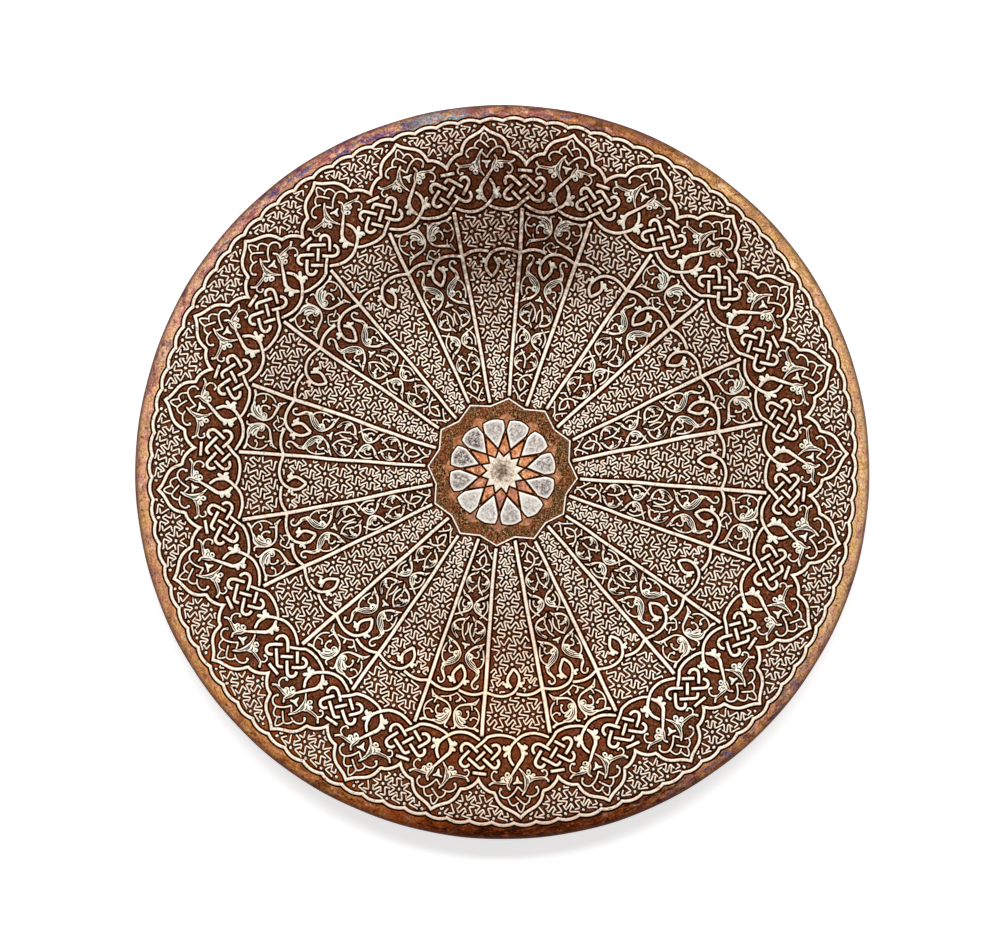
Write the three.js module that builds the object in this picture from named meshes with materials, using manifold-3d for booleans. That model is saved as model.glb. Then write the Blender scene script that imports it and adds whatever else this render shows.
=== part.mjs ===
// An inlaid copper tray: a dished copper sheet with silver strips and plates let into its face.
// Millimetres, +Z up, the origin under the middle of the base, the wall and rim rising around it.
import * as THREE from "three";
import { mergeVertices } from "three/addons/utils/BufferGeometryUtils.js";
import Module from "manifold-3d";

const wasm = await Module();
wasm.setup();

// Inlay: how far the silver stands proud, how deep it is let in, and the gap round it
const INLAY_PROUD = 0.35;
const INLAY_SEAT = 0.65;
const INLAY_GAP = 0.3;
const METAL_UNDER_POCKET = 1.25;
const POCKET_HEADROOM = 1.5;
const STRIP_SPACING = 0.9;

// Copper sheet
const TRAY_RADIUS = 200;
const TRAY_DEPTH = 24.5;
const SHEET_THICKNESS = INLAY_SEAT + INLAY_GAP + METAL_UNDER_POCKET;
const WELL_RADIUS = 99;
const RIM_WIDTH = 16;
const LIP_WIDTH = 6.6;
const LIP_DROP = 6;
const LIP_STEPS = 3;
// How the wall climbs from the well to the rim: share of its width, and steepness there.
const WALL_CLIMB = [
  [0, 0],
  [0.08, 0.45],
  [0.17, 0.96],
  [0.35, 1],
  [0.55, 0.79],
  [0.75, 0.59],
  [0.9, 0.25],
  [1, 0.06],
];

// Pattern: a rib for each panel, and a point of the star for every second rib
const STAR_POINTS = 12;
const PANELS_PER_POINT = 2;
const FACETS_PER_PANEL = 2;
const PATTERN_TURN = 4.5;

// Scalloped border near the edge of the rim
const BORDER_WIDTH = 2;
const BORDER_MARGIN = 0.6;
const SCALLOP_COUNT = 99;
const SCALLOP_RISE = 1.4;
const SCALLOP_CREST = [0.33, 0.67];

// Arcade of cusped lobes, a lobe to a panel, from the wall up to the border
const ARCADE_WIDTH = 1.8;
const ARCADE_DEPTH = 22.4;
const ARCADE_TIP_REACH = 1.2;
// Half a lobe from its tip to its valley: share of the half panel, and share of the depth.
const LOBE_OUTLINE = [
  [0, 0],
  [0.23, 0.21],
  [0.46, 0.35],
  [0.56, 0.61],
  [0.8, 0.74],
];

// Ring of shallow arcs inside the arcade, with the band of knots between them
const KNOT_BAND_WIDTH = 18.6;
const ARC_WIDTH = 1.8;
const ARC_SAG = 2.7;
const ARCS_PER_PANEL = 2;
const ARC_BOTTOM = [0.3, 0.7];

// Ribs from the star to the arcs
const RIB_WIDTH = 2.1;

// Medallion in the well, from the middle star outwards
const CENTER_TIP_RADIUS = 11;
const CENTER_POINT_HEIGHT = 2.9;
const PETAL_SPACING = 3;
const PETAL_WAIST_RISE = 7;
const PETAL_SHOULDER_RISE = 14;
const PETAL_LENGTH = 15.4;
const PETAL_CROWN_SHARE = 0.33;
const NECK_WIDTH = 1.8;
const MOUTH_WIDTH = 3.9;
const BRONZE_BAND_WIDTH = 7.3;
const OUTLINE_WIDTH = 1;
const OUTLINE_POINT_HEIGHT = 4.3;

const copper = new THREE.MeshStandardMaterial({ color: 0x8a5430, roughness: 0.45, metalness: 0.9 });
const silver = new THREE.MeshStandardMaterial({ color: 0xe8e0d6, roughness: 0.35, metalness: 0.9 });

const PANEL_COUNT = STAR_POINTS * PANELS_PER_POINT;
const PANEL_ANGLE = 360 / PANEL_COUNT;
const STAR_ANGLE = 360 / STAR_POINTS;
const RIM_EDGE_RADIUS = TRAY_RADIUS - LIP_WIDTH;
const WALL_TOP_RADIUS = RIM_EDGE_RADIUS - RIM_WIDTH;
const BORDER_CREST_RADIUS = RIM_EDGE_RADIUS - BORDER_MARGIN - BORDER_WIDTH / 2;
const BORDER_VALLEY_RADIUS = BORDER_CREST_RADIUS - SCALLOP_RISE;
const ARCADE_TIP_RADIUS = BORDER_VALLEY_RADIUS - BORDER_WIDTH / 2 - STRIP_SPACING - ARCADE_TIP_REACH;
const ARCADE_VALLEY_RADIUS = ARCADE_TIP_RADIUS - ARCADE_DEPTH;
const ARC_CROSSING_RADIUS = ARCADE_VALLEY_RADIUS - KNOT_BAND_WIDTH;
const PETAL_APEX_RADIUS = CENTER_TIP_RADIUS + PETAL_SPACING;
const PETAL_CROWN_RADIUS = PETAL_APEX_RADIUS + PETAL_LENGTH;
const OUTLINE_NOTCH_RADIUS = PETAL_CROWN_RADIUS + BRONZE_BAND_WIDTH;
const OUTLINE_TIP_RADIUS = OUTLINE_NOTCH_RADIUS + OUTLINE_POINT_HEIGHT;

// Point in plan at a radius and an angle clockwise from +Y.
function at(radius, degrees) {
  const angle = THREE.MathUtils.degToRad(degrees);
  return [radius * Math.sin(angle), radius * Math.cos(angle)];
}

// Upper face of the sheet from the axis to the end of the lip, as radius and height.
function upperProfile() {
  const width = WALL_TOP_RADIUS - WELL_RADIUS;
  const rises = [0];
  for (let i = 1; i < WALL_CLIMB.length; i++) {
    const [share, steepness] = WALL_CLIMB[i];
    const [lastShare, lastSteepness] = WALL_CLIMB[i - 1];
    rises.push(rises[i - 1] + ((share - lastShare) * (steepness + lastSteepness)) / 2);
  }
  const scale = TRAY_DEPTH / rises[rises.length - 1];
  const points = [[0, SHEET_THICKNESS]];
  WALL_CLIMB.forEach(([share], i) => {
    points.push([WELL_RADIUS + share * width, SHEET_THICKNESS + rises[i] * scale]);
  });
  const rimHeight = SHEET_THICKNESS + TRAY_DEPTH;
  for (let i = 0; i <= LIP_STEPS; i++) {
    const bend = (i / LIP_STEPS) * (Math.PI / 2);
    const radius = RIM_EDGE_RADIUS + LIP_WIDTH * Math.sin(bend);
    points.push([radius, rimHeight - LIP_DROP * (1 - Math.cos(bend))]);
  }
  return points;
}

const UPPER_PROFILE = upperProfile();

// Height of the upper face over a radius.
function surfaceHeight(radius) {
  for (let i = 1; i < UPPER_PROFILE.length; i++) {
    const [outer, outerHeight] = UPPER_PROFILE[i];
    const [inner, innerHeight] = UPPER_PROFILE[i - 1];
    if (radius <= outer) {
      return innerHeight + ((outerHeight - innerHeight) * (radius - inner)) / (outer - inner);
    }
  }
  return UPPER_PROFILE[UPPER_PROFILE.length - 1][1];
}

// Unit vector from one plan point to the next.
function direction(from, to) {
  const length = Math.hypot(to[0] - from[0], to[1] - from[1]);
  return [(to[0] - from[0]) / length, (to[1] - from[1]) / length];
}

// Plan points moved sideways to the right of their path, with mitred corners.
function sideways(points, distance, closed) {
  const count = points.length;
  return points.map((point, i) => {
    const hasLast = closed || i > 0;
    const hasNext = closed || i < count - 1;
    const before = hasLast ? direction(points[(i + count - 1) % count], point) : null;
    const after = hasNext ? direction(point, points[(i + 1) % count]) : null;
    const first = before ?? after;
    const second = after ?? before;
    const sum = [first[1] + second[1], -first[0] - second[0]];
    const stretch = (2 * distance) / (sum[0] * sum[0] + sum[1] * sum[1]);
    return [point[0] + sum[0] * stretch, point[1] + sum[1] * stretch];
  });
}

// Lower face of the sheet, one thickness under the upper face, from the lip back to the axis.
function lowerProfile() {
  const moved = sideways(UPPER_PROFILE, SHEET_THICKNESS, false);
  moved[0][0] = 0;
  return moved.reverse();
}

// Closed mesh as a solid, with its shared vertices merged and empty triangles left out.
function toSolid(geometry) {
  geometry.deleteAttribute("normal");
  geometry.deleteAttribute("uv");
  const merged = mergeVertices(geometry);
  const corners = merged.index.array;
  const triangles = [];
  for (let i = 0; i < corners.length; i += 3) {
    const [a, b, c] = [corners[i], corners[i + 1], corners[i + 2]];
    if (a !== b && b !== c && c !== a) {
      triangles.push(a, b, c);
    }
  }
  const vertProperties = Float32Array.from(merged.attributes.position.array);
  const triVerts = Uint32Array.from(triangles);
  return new wasm.Manifold(new wasm.Mesh({ numProp: 3, vertProperties, triVerts }));
}

function toGeometry(solid) {
  const mesh = solid.getMesh();
  const geometry = new THREE.BufferGeometry();
  geometry.setAttribute("position", new THREE.BufferAttribute(mesh.vertProperties, 3));
  geometry.setIndex(new THREE.BufferAttribute(mesh.triVerts, 1));
  geometry.computeVertexNormals();
  return geometry;
}

// Solid between two edges in plan, lying along the tray's face from below it to above it.
function ribbon(leftEdge, rightEdge, closed, below, above) {
  const positions = [];
  const lift = ([x, y], offset) => positions.push(x, y, surfaceHeight(Math.hypot(x, y)) + offset);
  leftEdge.forEach((left, i) => {
    lift(left, above);
    lift(rightEdge[i], above);
    lift(rightEdge[i], -below);
    lift(left, -below);
  });
  const sides = 4;
  const count = leftEdge.length;
  const triangles = [];
  for (let i = 0; i < (closed ? count : count - 1); i++) {
    const here = i * sides;
    const next = ((i + 1) % count) * sides;
    for (let side = 0; side < sides; side++) {
      const turn = (side + 1) % sides;
      triangles.push(here + side, here + turn, next + turn);
      triangles.push(here + side, next + turn, next + side);
    }
  }
  if (!closed) {
    const last = (count - 1) * sides;
    triangles.push(0, 2, 1, 0, 3, 2);
    triangles.push(last, last + 1, last + 2, last, last + 2, last + 3);
  }
  const geometry = new THREE.BufferGeometry();
  geometry.setAttribute("position", new THREE.Float32BufferAttribute(positions, 3));
  geometry.setIndex(triangles);
  return toSolid(geometry);
}

// Strip of silver along a path in plan, and the pocket it is let into.
function stripAndPocket(path, width, closed) {
  const half = width / 2;
  const edges = (reach) => [sideways(path, -reach, closed), sideways(path, reach, closed)];
  const [left, right] = edges(half);
  const strip = ribbon(left, right, closed, INLAY_SEAT, INLAY_PROUD);
  const [pocketLeft, pocketRight] = edges(half + INLAY_GAP);
  if (!closed) {
    [pocketLeft, pocketRight].forEach((edge) => lengthen(edge, INLAY_GAP));
  }
  const pocket = ribbon(pocketLeft, pocketRight, closed, INLAY_SEAT + INLAY_GAP, POCKET_HEADROOM);
  return { piece: strip, pocket };
}

// Moves both ends of an open path outwards along it.
function lengthen(path, distance) {
  const last = path.length - 1;
  const start = direction(path[1], path[0]);
  const end = direction(path[last - 1], path[last]);
  path[0] = [path[0][0] + start[0] * distance, path[0][1] + start[1] * distance];
  path[last] = [path[last][0] + end[0] * distance, path[last][1] + end[1] * distance];
}

// Flat plate of silver in the well, and the pocket it is let into. The outline runs clockwise.
function plateAndPocket(outline) {
  const extrude = (points, bottom, top) => {
    const shape = new THREE.Shape(points.map(([x, y]) => new THREE.Vector2(x, y)));
    const geometry = new THREE.ExtrudeGeometry(shape, { depth: top - bottom, bevelEnabled: false });
    geometry.translate(0, 0, bottom);
    return toSolid(geometry);
  };
  const bottom = SHEET_THICKNESS - INLAY_SEAT;
  const piece = extrude(outline, bottom, SHEET_THICKNESS + INLAY_PROUD);
  const wider = sideways(outline, -INLAY_GAP, true);
  const pocket = extrude(wider, bottom - INLAY_GAP, SHEET_THICKNESS + POCKET_HEADROOM);
  return { piece, pocket };
}

// Star in plan, its points at the angles of every second rib.
function starOutline(tipRadius, notchRadius, turn) {
  const points = [];
  for (let i = 0; i < STAR_POINTS; i++) {
    points.push(at(tipRadius, i * STAR_ANGLE + turn));
    points.push(at(notchRadius, (i + 0.5) * STAR_ANGLE + turn));
  }
  return points;
}

function scallopedBorder() {
  const pitch = 360 / SCALLOP_COUNT;
  const path = [];
  for (let i = 0; i < SCALLOP_COUNT; i++) {
    path.push(at(BORDER_VALLEY_RADIUS, i * pitch));
    SCALLOP_CREST.forEach((share) => path.push(at(BORDER_CREST_RADIUS, (i + share) * pitch)));
  }
  return stripAndPocket(path, BORDER_WIDTH, true);
}

function arcade() {
  const halfPanel = PANEL_ANGLE / 2;
  const path = [];
  for (let i = 0; i < PANEL_COUNT; i++) {
    const tipAngle = (i + 0.5) * PANEL_ANGLE;
    const halfLobe = (side) =>
      LOBE_OUTLINE.map(([across, down]) =>
        at(ARCADE_TIP_RADIUS - down * ARCADE_DEPTH, tipAngle + side * across * halfPanel),
      );
    path.push(at(ARCADE_VALLEY_RADIUS, i * PANEL_ANGLE));
    path.push(...halfLobe(-1).slice(1).reverse());
    path.push(...halfLobe(1));
  }
  return stripAndPocket(path, ARCADE_WIDTH, true);
}

function outerArcs() {
  const count = PANEL_COUNT * ARCS_PER_PANEL;
  const pitch = 360 / count;
  const path = [];
  for (let i = 0; i < count; i++) {
    path.push(at(ARC_CROSSING_RADIUS, i * pitch));
    ARC_BOTTOM.forEach((share) => path.push(at(ARC_CROSSING_RADIUS - ARC_SAG, (i + share) * pitch)));
  }
  return stripAndPocket(path, ARC_WIDTH, true);
}

// A rib starts at a point of the star or in a notch between two. All end under the arcs.
function rib(index) {
  const starRadius = index % PANELS_PER_POINT === 0 ? OUTLINE_TIP_RADIUS : OUTLINE_NOTCH_RADIUS;
  const start = starRadius + OUTLINE_WIDTH + STRIP_SPACING;
  const end = ARC_CROSSING_RADIUS - ARC_WIDTH - STRIP_SPACING;
  const bends = UPPER_PROFILE.map(([radius]) => radius);
  const between = bends.filter((radius) => radius > start && radius < end);
  const path = [start, ...between, end].map((radius) => at(radius, index * PANEL_ANGLE));
  return stripAndPocket(path, RIB_WIDTH, false);
}

// A petal lies between two points of the star. Its neighbours are a neck apart at the waist
// and a mouth apart at the shoulder.
function petal(index) {
  const middle = (index + 0.5) * STAR_ANGLE;
  const waistRadius = PETAL_APEX_RADIUS + PETAL_WAIST_RISE;
  const shoulderRadius = PETAL_APEX_RADIUS + PETAL_SHOULDER_RISE;
  const halfAngle = (radius, gap) => {
    const halfGap = THREE.MathUtils.radToDeg(Math.asin(gap / 2 / radius));
    return STAR_ANGLE / 2 - halfGap;
  };
  const waist = halfAngle(waistRadius, NECK_WIDTH);
  const shoulder = halfAngle(shoulderRadius, MOUTH_WIDTH);
  const crown = shoulder * PETAL_CROWN_SHARE;
  const outline = [
    at(PETAL_APEX_RADIUS, middle),
    at(waistRadius, middle - waist),
    at(shoulderRadius, middle - shoulder),
    at(PETAL_CROWN_RADIUS, middle - crown),
    at(PETAL_CROWN_RADIUS, middle + crown),
    at(shoulderRadius, middle + shoulder),
    at(waistRadius, middle + waist),
  ];
  return plateAndPocket(outline);
}

function copperSheet() {
  const profile = [...UPPER_PROFILE, ...lowerProfile()].reverse();
  const points = profile.map(([radius, height]) => new THREE.Vector2(radius, height));
  const facets = PANEL_COUNT * FACETS_PER_PANEL;
  const geometry = new THREE.LatheGeometry(points, facets, Math.PI / facets);
  geometry.rotateX(Math.PI / 2);
  return toSolid(geometry);
}

const numbered = (name, index) => `${name}_${String(index + 1).padStart(2, "0")}`;
const centerStar = starOutline(CENTER_TIP_RADIUS, CENTER_TIP_RADIUS - CENTER_POINT_HEIGHT, STAR_ANGLE / 2);
const medallionEdge = starOutline(OUTLINE_TIP_RADIUS, OUTLINE_NOTCH_RADIUS, 0);

const inlays = [
  ["center_star", plateAndPocket(centerStar)],
  ["star_outline", stripAndPocket(medallionEdge, OUTLINE_WIDTH, true)],
  ["outer_arcs", outerArcs()],
  ["arcade", arcade()],
  ["scalloped_border", scallopedBorder()],
];
for (let i = 0; i < STAR_POINTS; i++) {
  inlays.push([numbered("petal", i), petal(i)]);
}
for (let i = 0; i < PANEL_COUNT; i++) {
  inlays.push([numbered("rib", i), rib(i)]);
}

let sheet = copperSheet();
for (const [, { pocket }] of inlays) {
  sheet = sheet.subtract(pocket);
}

// The pattern is drawn with a rib straight up, and lies on the tray turned a little clockwise.
const tray = new THREE.Group();
tray.rotation.z = -THREE.MathUtils.degToRad(PATTERN_TURN);

function add(name, solid, material) {
  const mesh = new THREE.Mesh(toGeometry(solid), material);
  mesh.name = name;
  tray.add(mesh);
}

add("tray_body", sheet, copper);
for (const [name, { piece }] of inlays) {
  add(name, piece, silver);
}

export default tray;
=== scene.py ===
# The inlaid copper tray: its finish, and all the fine silver let into its face. Metres, +Z up.
import math

import bpy
import numpy as np
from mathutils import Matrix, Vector
from mathutils.geometry import delaunay_2d_cdt


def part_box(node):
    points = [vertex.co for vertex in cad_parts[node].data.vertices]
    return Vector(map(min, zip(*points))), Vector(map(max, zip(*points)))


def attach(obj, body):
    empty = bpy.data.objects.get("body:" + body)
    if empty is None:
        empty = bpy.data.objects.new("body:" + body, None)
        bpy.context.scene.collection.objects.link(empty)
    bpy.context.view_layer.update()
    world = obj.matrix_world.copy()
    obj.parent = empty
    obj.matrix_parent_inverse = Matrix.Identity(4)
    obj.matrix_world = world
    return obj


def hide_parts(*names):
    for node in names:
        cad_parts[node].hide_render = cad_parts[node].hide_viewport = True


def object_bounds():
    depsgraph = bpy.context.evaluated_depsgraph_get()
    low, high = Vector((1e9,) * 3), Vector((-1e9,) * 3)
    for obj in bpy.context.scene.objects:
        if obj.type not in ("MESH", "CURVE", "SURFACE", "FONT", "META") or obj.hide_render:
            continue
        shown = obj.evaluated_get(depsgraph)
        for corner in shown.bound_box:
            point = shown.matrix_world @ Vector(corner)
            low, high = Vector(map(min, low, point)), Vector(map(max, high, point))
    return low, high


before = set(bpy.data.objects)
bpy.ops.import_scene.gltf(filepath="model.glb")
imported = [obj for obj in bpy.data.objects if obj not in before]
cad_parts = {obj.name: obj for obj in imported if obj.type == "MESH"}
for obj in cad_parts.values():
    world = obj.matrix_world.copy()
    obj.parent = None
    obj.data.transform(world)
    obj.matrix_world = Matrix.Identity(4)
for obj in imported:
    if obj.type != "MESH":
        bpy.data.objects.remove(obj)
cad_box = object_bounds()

MM = 0.001

# The copper sheet
SHEET = 2.2 * MM
RADIUS = (cad_box[1].x - cad_box[0].x) / 2
RIM_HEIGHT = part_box("tray_body")[1].z
WELL_RADIUS = 99 * MM
RIM_WIDTH = 16 * MM
LIP_WIDTH = 6.6 * MM
LIP_DROP = 6 * MM
RIM_EDGE = RADIUS - LIP_WIDTH
WALL_TOP = RIM_EDGE - RIM_WIDTH
# How the wall climbs: share of its width, and steepness there
WALL_CLIMB = (
    (0, 0), (0.08, 0.45), (0.17, 0.96), (0.35, 1), (0.55, 0.79), (0.75, 0.59), (0.9, 0.25), (1, 0.06),
)
CLIMB_STEPS = 400
WALL_RINGS, LIP_RINGS, ROUND_SEGMENTS = 70, 16, 384
LIP_DENT = 0.45 * MM

# The view: a long lens straight over the tray
IMAGE_SIZE = (1000, 951)
TRAY_CENTRE_PIXEL = (502.5, 472.2)
TRAY_RADIUS_PIXELS = 367.6
LENS = 150
SENSOR = 36
FOCAL_PIXELS = LENS / SENSOR * IMAGE_SIZE[0]
CAMERA_DISTANCE = FOCAL_PIXELS * RADIUS / TRAY_RADIUS_PIXELS - LIP_DROP

# The pattern is drawn flat, in units that each cover one pixel at the height of the rim
UNIT = CAMERA_DISTANCE / FOCAL_PIXELS
PANELS = 24
PANEL_ANGLE = 360 / PANELS
FIRST_RIB = 4.5
STAR_POINTS = 12
STAR_ANGLE = 360 / STAR_POINTS
# Drift of the hand-drawn pattern, as waves: reach, turns per metre across and along, and phase
DRIFT = ((0.45, 31, 23, 0.4), (0.35, -47, 59, 2.1), (0.225, 111, 83, 4.0), (0.175, -151, 173, 1.2))

# Silver: heights over the copper, how deep it sits, and the dark bed that shows round it
STRIP_HEIGHT = 0.32 * MM
FINE_HEIGHT = 0.26 * MM
SINK = 0.25 * MM
BED_HEIGHT = 0.03 * MM
# Lines engraved in the silver: their top, where they start below it, and width
CUT_TOP = FINE_HEIGHT + 0.015 * MM
CUT_DEPTH = -FINE_HEIGHT / 2
CUT_WIDTH = 1.2
# Steps between the points that fill a plate, how far they keep from its edge, and the ring of points in a
# bevelled edge: its share of the way in and up
PLATE_STEP = 2.4 * UNIT
PLATE_MARGIN = PLATE_STEP * 0.55
BEVEL_IN, BEVEL_UP = 0.25, 0.55
LEAF_BEVEL, DOT_BEVEL = 0.4 * UNIT, 0.45 * UNIT
# Rounded nose of a strip: how far out and how wide it is there, as shares of half the strip's width
NOSE = ((0.45, 0.88), (0.8, 0.6), (1, 0.18))
# Sections from the left edge over the top, as shares of half the width and of the height
CUSHION = (
    (-1, -0.8), (-0.97, 0.12), (-0.76, 0.86), (-0.45, 1), (0.45, 1), (0.76, 0.86), (0.97, 0.12), (1, -0.8),
)
FINE_CUSHION = ((-1, -0.8), (-0.97, 0.14), (-0.68, 1), (0.68, 1), (0.97, 0.14), (1, -0.8))
FLAT = ((-1, 1), (1, 1), (1, -1), (-1, -1))
# Kinds of strip: section, height, and width of the dark line on either side
PLAIN = (CUSHION, FINE_HEIGHT, 1.4)
BOLD = (CUSHION, STRIP_HEIGHT, 1.6)
FRET = (FINE_CUSHION, FINE_HEIGHT, 0.95)
THIN = (CUSHION, STRIP_HEIGHT, 1)
# Which look each face of a piece of inlay has
TOP, WORN, SIDE = 0, 1, 2

random = np.random.RandomState(12)


# Surface of the tray

def wall_table():
    """Radii across the wall and the height of the face over each, as the sheet's steepness adds up."""
    shares, steepness = np.array(WALL_CLIMB).T
    fine = np.linspace(0, 1, CLIMB_STEPS)
    slope = np.interp(fine, shares, steepness)
    climb = np.concatenate(([0], np.cumsum((slope[1:] + slope[:-1]) / 2)))
    heights = SHEET + (RIM_HEIGHT - SHEET) * climb / climb[-1]
    return WELL_RADIUS + fine * (WALL_TOP - WELL_RADIUS), heights


WALL_RADII, WALL_HEIGHTS = wall_table()


def surface_height(radius):
    """Height of the upper face over a radius."""
    out = np.clip((radius - RIM_EDGE) / LIP_WIDTH, 0, 1)
    lip = LIP_DROP * (1 - np.sqrt(1 - out * out))
    return np.interp(radius, WALL_RADII, WALL_HEIGHTS) - lip


def lift(plan, height):
    """Points in plan, set on the face at a height over it."""
    radius = np.hypot(plan[..., 0], plan[..., 1])
    return np.concatenate((plan, (surface_height(radius) + height)[..., None]), axis=-1)


def turned(points, angle):
    """Points of one direction's drawing, as seen in that of a direction that is angle clockwise of it."""
    turn = math.radians(angle)
    cos, sin = math.cos(turn), math.sin(turn)
    x, y = np.asarray(points, dtype=float).T
    return np.stack((x * cos - y * sin, x * sin + y * cos), axis=1)


def drift(plan):
    """Small drift of the hand-drawn pattern, smooth over a few centimetres."""
    total = np.zeros_like(plan)
    for reach, across, along, phase in DRIFT:
        wave = across * plan[:, 0] + along * plan[:, 1] + phase
        total += reach * np.stack((np.sin(wave), np.cos(1.3 * wave + phase)), axis=1)
    return total * UNIT


def to_plan(points, angle, drifting=True):
    """Drawn units along a direction, clockwise from the back, as metres in plan. What lies deeper
    in the dish is drawn a little smaller by the view, so it is made that much larger."""
    plan = turned(points, -angle) * UNIT
    if drifting:
        plan = plan + drift(plan)
    radius = np.hypot(plan[:, 0], plan[:, 1])
    depth = np.where(radius < RIM_EDGE, RIM_HEIGHT - surface_height(radius), 0)
    return plan * (1 + depth / CAMERA_DISTANCE)[:, None]


# Paths

def circle(count):
    """Angles, and the unit vectors to them, evenly round a circle."""
    turns = np.linspace(0, 2 * math.pi, count, endpoint=False)
    return turns, np.stack((np.cos(turns), np.sin(turns)), axis=1)


def smooth_path(points, step=1.1, closed=False):
    """Smooth curve through points, with a point about every step."""
    points = np.asarray(points, dtype=float)
    before, after = 2 * points[:1] - points[1:2], 2 * points[-1:] - points[-2:-1]
    if closed:
        before, after = points[-1:], points[:2]
    padded = np.concatenate((before, points, after))
    pieces = []
    for a, b, c, d in zip(padded, padded[1:], padded[2:], padded[3:]):
        steps = max(2, math.ceil(np.hypot(*(c - b)) / step))
        t = np.linspace(0, 1, steps, endpoint=False)[:, None]
        pieces.append(
            0.5 * (2 * b + (c - a) * t + (2 * a - 5 * b + 4 * c - d) * t**2 + (3 * b - a - 3 * c + d) * t**3)
        )
    if not closed:
        pieces.append(points[-1:])
    return np.concatenate(pieces)


def stepped(path, step, closed=False):
    """The same straight runs, with points about every step along them."""
    path = np.asarray(path, dtype=float)
    runs = []
    for a, b in zip(path, np.roll(path, -1, axis=0) if closed else path[1:]):
        steps = max(1, math.ceil(np.hypot(*(b - a)) / step))
        runs.append(a + (b - a) * np.linspace(0, 1, steps, endpoint=False)[:, None])
    if not closed:
        runs.append(path[-1:])
    return np.concatenate(runs)


def rounded_path(points, radius, step=1.6, closed=False):
    """Straight runs between points, with their corners rounded."""
    points = np.asarray(points, dtype=float)
    count = len(points)
    path = []
    for i, here in enumerate(points):
        if not closed and i in (0, count - 1):
            path.append(here)
            continue
        legs = []
        for other in (points[i - 1], points[(i + 1) % count]):
            length = np.hypot(*(other - here))
            legs.append(here + (other - here) / length * min(radius, length / 2))
        for t in (0, 0.25, 0.5, 0.75, 1):
            path.append((1 - t) ** 2 * legs[0] + 2 * t * (1 - t) * here + t**2 * legs[1])
    path = np.array(path)
    gaps = np.hypot(*np.diff(path, axis=0).T)
    return stepped(path[np.concatenate(([True], gaps > 0.05))], step, closed)


def sideways(path, closed, sharpest=1.1):
    """Unit normal to the right of a path at each point, stretched at corners as a mitre is. A corner
    sharper than a limit is cut blunt."""
    if closed:
        into = path - np.roll(path, 1, axis=0)
        out = np.roll(path, -1, axis=0) - path
    else:
        runs = np.diff(path, axis=0)
        into = np.concatenate((runs[:1], runs))
        out = np.concatenate((runs, runs[-1:]))
    total = sum(side / np.maximum(np.hypot(side[:, 0], side[:, 1]), 1e-12)[:, None] for side in (into, out))
    square = np.maximum((total**2).sum(axis=1), sharpest)
    return np.stack((total[:, 1], -total[:, 0]), axis=1) * (2 / square)[:, None]


def end_directions(path):
    """Unit directions in which a path runs on past its start and past its end."""
    start, end = path[0] - path[1], path[-1] - path[-2]
    return start / np.hypot(*start), end / np.hypot(*end)


def with_round_ends(path, half):
    """Path and half widths, run on past both ends by a rounded nose."""
    start, end = end_directions(path)
    outs, widths = np.array(NOSE).T
    before = path[0] + start * half[0] * outs[::-1, None]
    after = path[-1] + end * half[-1] * outs[:, None]
    half = np.concatenate((half[0] * widths[::-1], half, half[-1] * widths))
    return np.concatenate((before, path, after)), half


def stretch_ends(path, distance):
    start, end = end_directions(path)
    return np.concatenate((path[:1] + start * distance, path[1:-1], path[-1:] + end * distance))


def area(outline):
    x, y = outline.T
    return 0.5 * np.sum(x * np.roll(y, -1) - np.roll(x, -1) * y)


def leftward(outline):
    """The outline, run anticlockwise."""
    return outline[::-1] if area(outline) < 0 else outline


def inside_loop(points, loop):
    """Which points lie inside a closed loop."""
    x, y = points.T[:, :, None]
    (x0, y0), (x1, y1) = loop.T, np.roll(loop, -1, axis=0).T
    spans = (y0 > y) != (y1 > y)
    rise = np.where(y1 == y0, 1e-9, y1 - y0)
    hits = spans & (x < (x1 - x0) * (y - y0) / rise + x0)
    return hits.sum(axis=1) % 2 == 1


def clear_of(points, path, distance):
    """Which points lie further than a distance from a path."""
    gaps = points[:, None] - path[None]
    return np.hypot(gaps[..., 0], gaps[..., 1]).min(axis=1) > distance


# Meshes

class Pile:
    """Vertices and faces of one piece, gathered from many closed shapes."""

    def __init__(self):
        self.points, self.faces, self.looks, self.count = [], [], [], 0

    def add(self, points, faces, looks):
        self.faces += [tuple(corner + self.count for corner in face) for face in faces]
        self.looks += looks
        self.points.append(points)
        self.count += len(points)

    def build(self, name, slot, *materials, replaced=(), smooth=True):
        mesh = bpy.data.meshes.new(name)
        mesh.from_pydata(np.concatenate(self.points).tolist(), [], self.faces)
        for material in materials:
            mesh.materials.append(material)
        if len(materials) > 1:
            mesh.polygons.foreach_set("material_index", self.looks)
        mesh.polygons.foreach_set("use_smooth", [smooth] * len(mesh.polygons))
        piece = put(name, mesh)
        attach(piece, "root")
        if replaced:
            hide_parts(*replaced)
        return piece


def put(name, data):
    """A new object in the scene."""
    thing = bpy.data.objects.new(name, data)
    bpy.context.scene.collection.objects.link(thing)
    return thing


def wall_faces(rings, count, closed=False):
    """Four-sided faces from each ring of points to the next, and from the last to the first if closed."""
    faces = []
    for level in range(rings if closed else rings - 1):
        low, high = level * count, (level + 1) % rings * count
        faces += [(low + i, low + (i + 1) % count, high + (i + 1) % count, high + i) for i in range(count)]
    return faces


def end_faces(rings, count):
    last = (rings - 1) * count
    return [tuple(range(count - 1, -1, -1)), tuple(range(last, last + count))]


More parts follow.
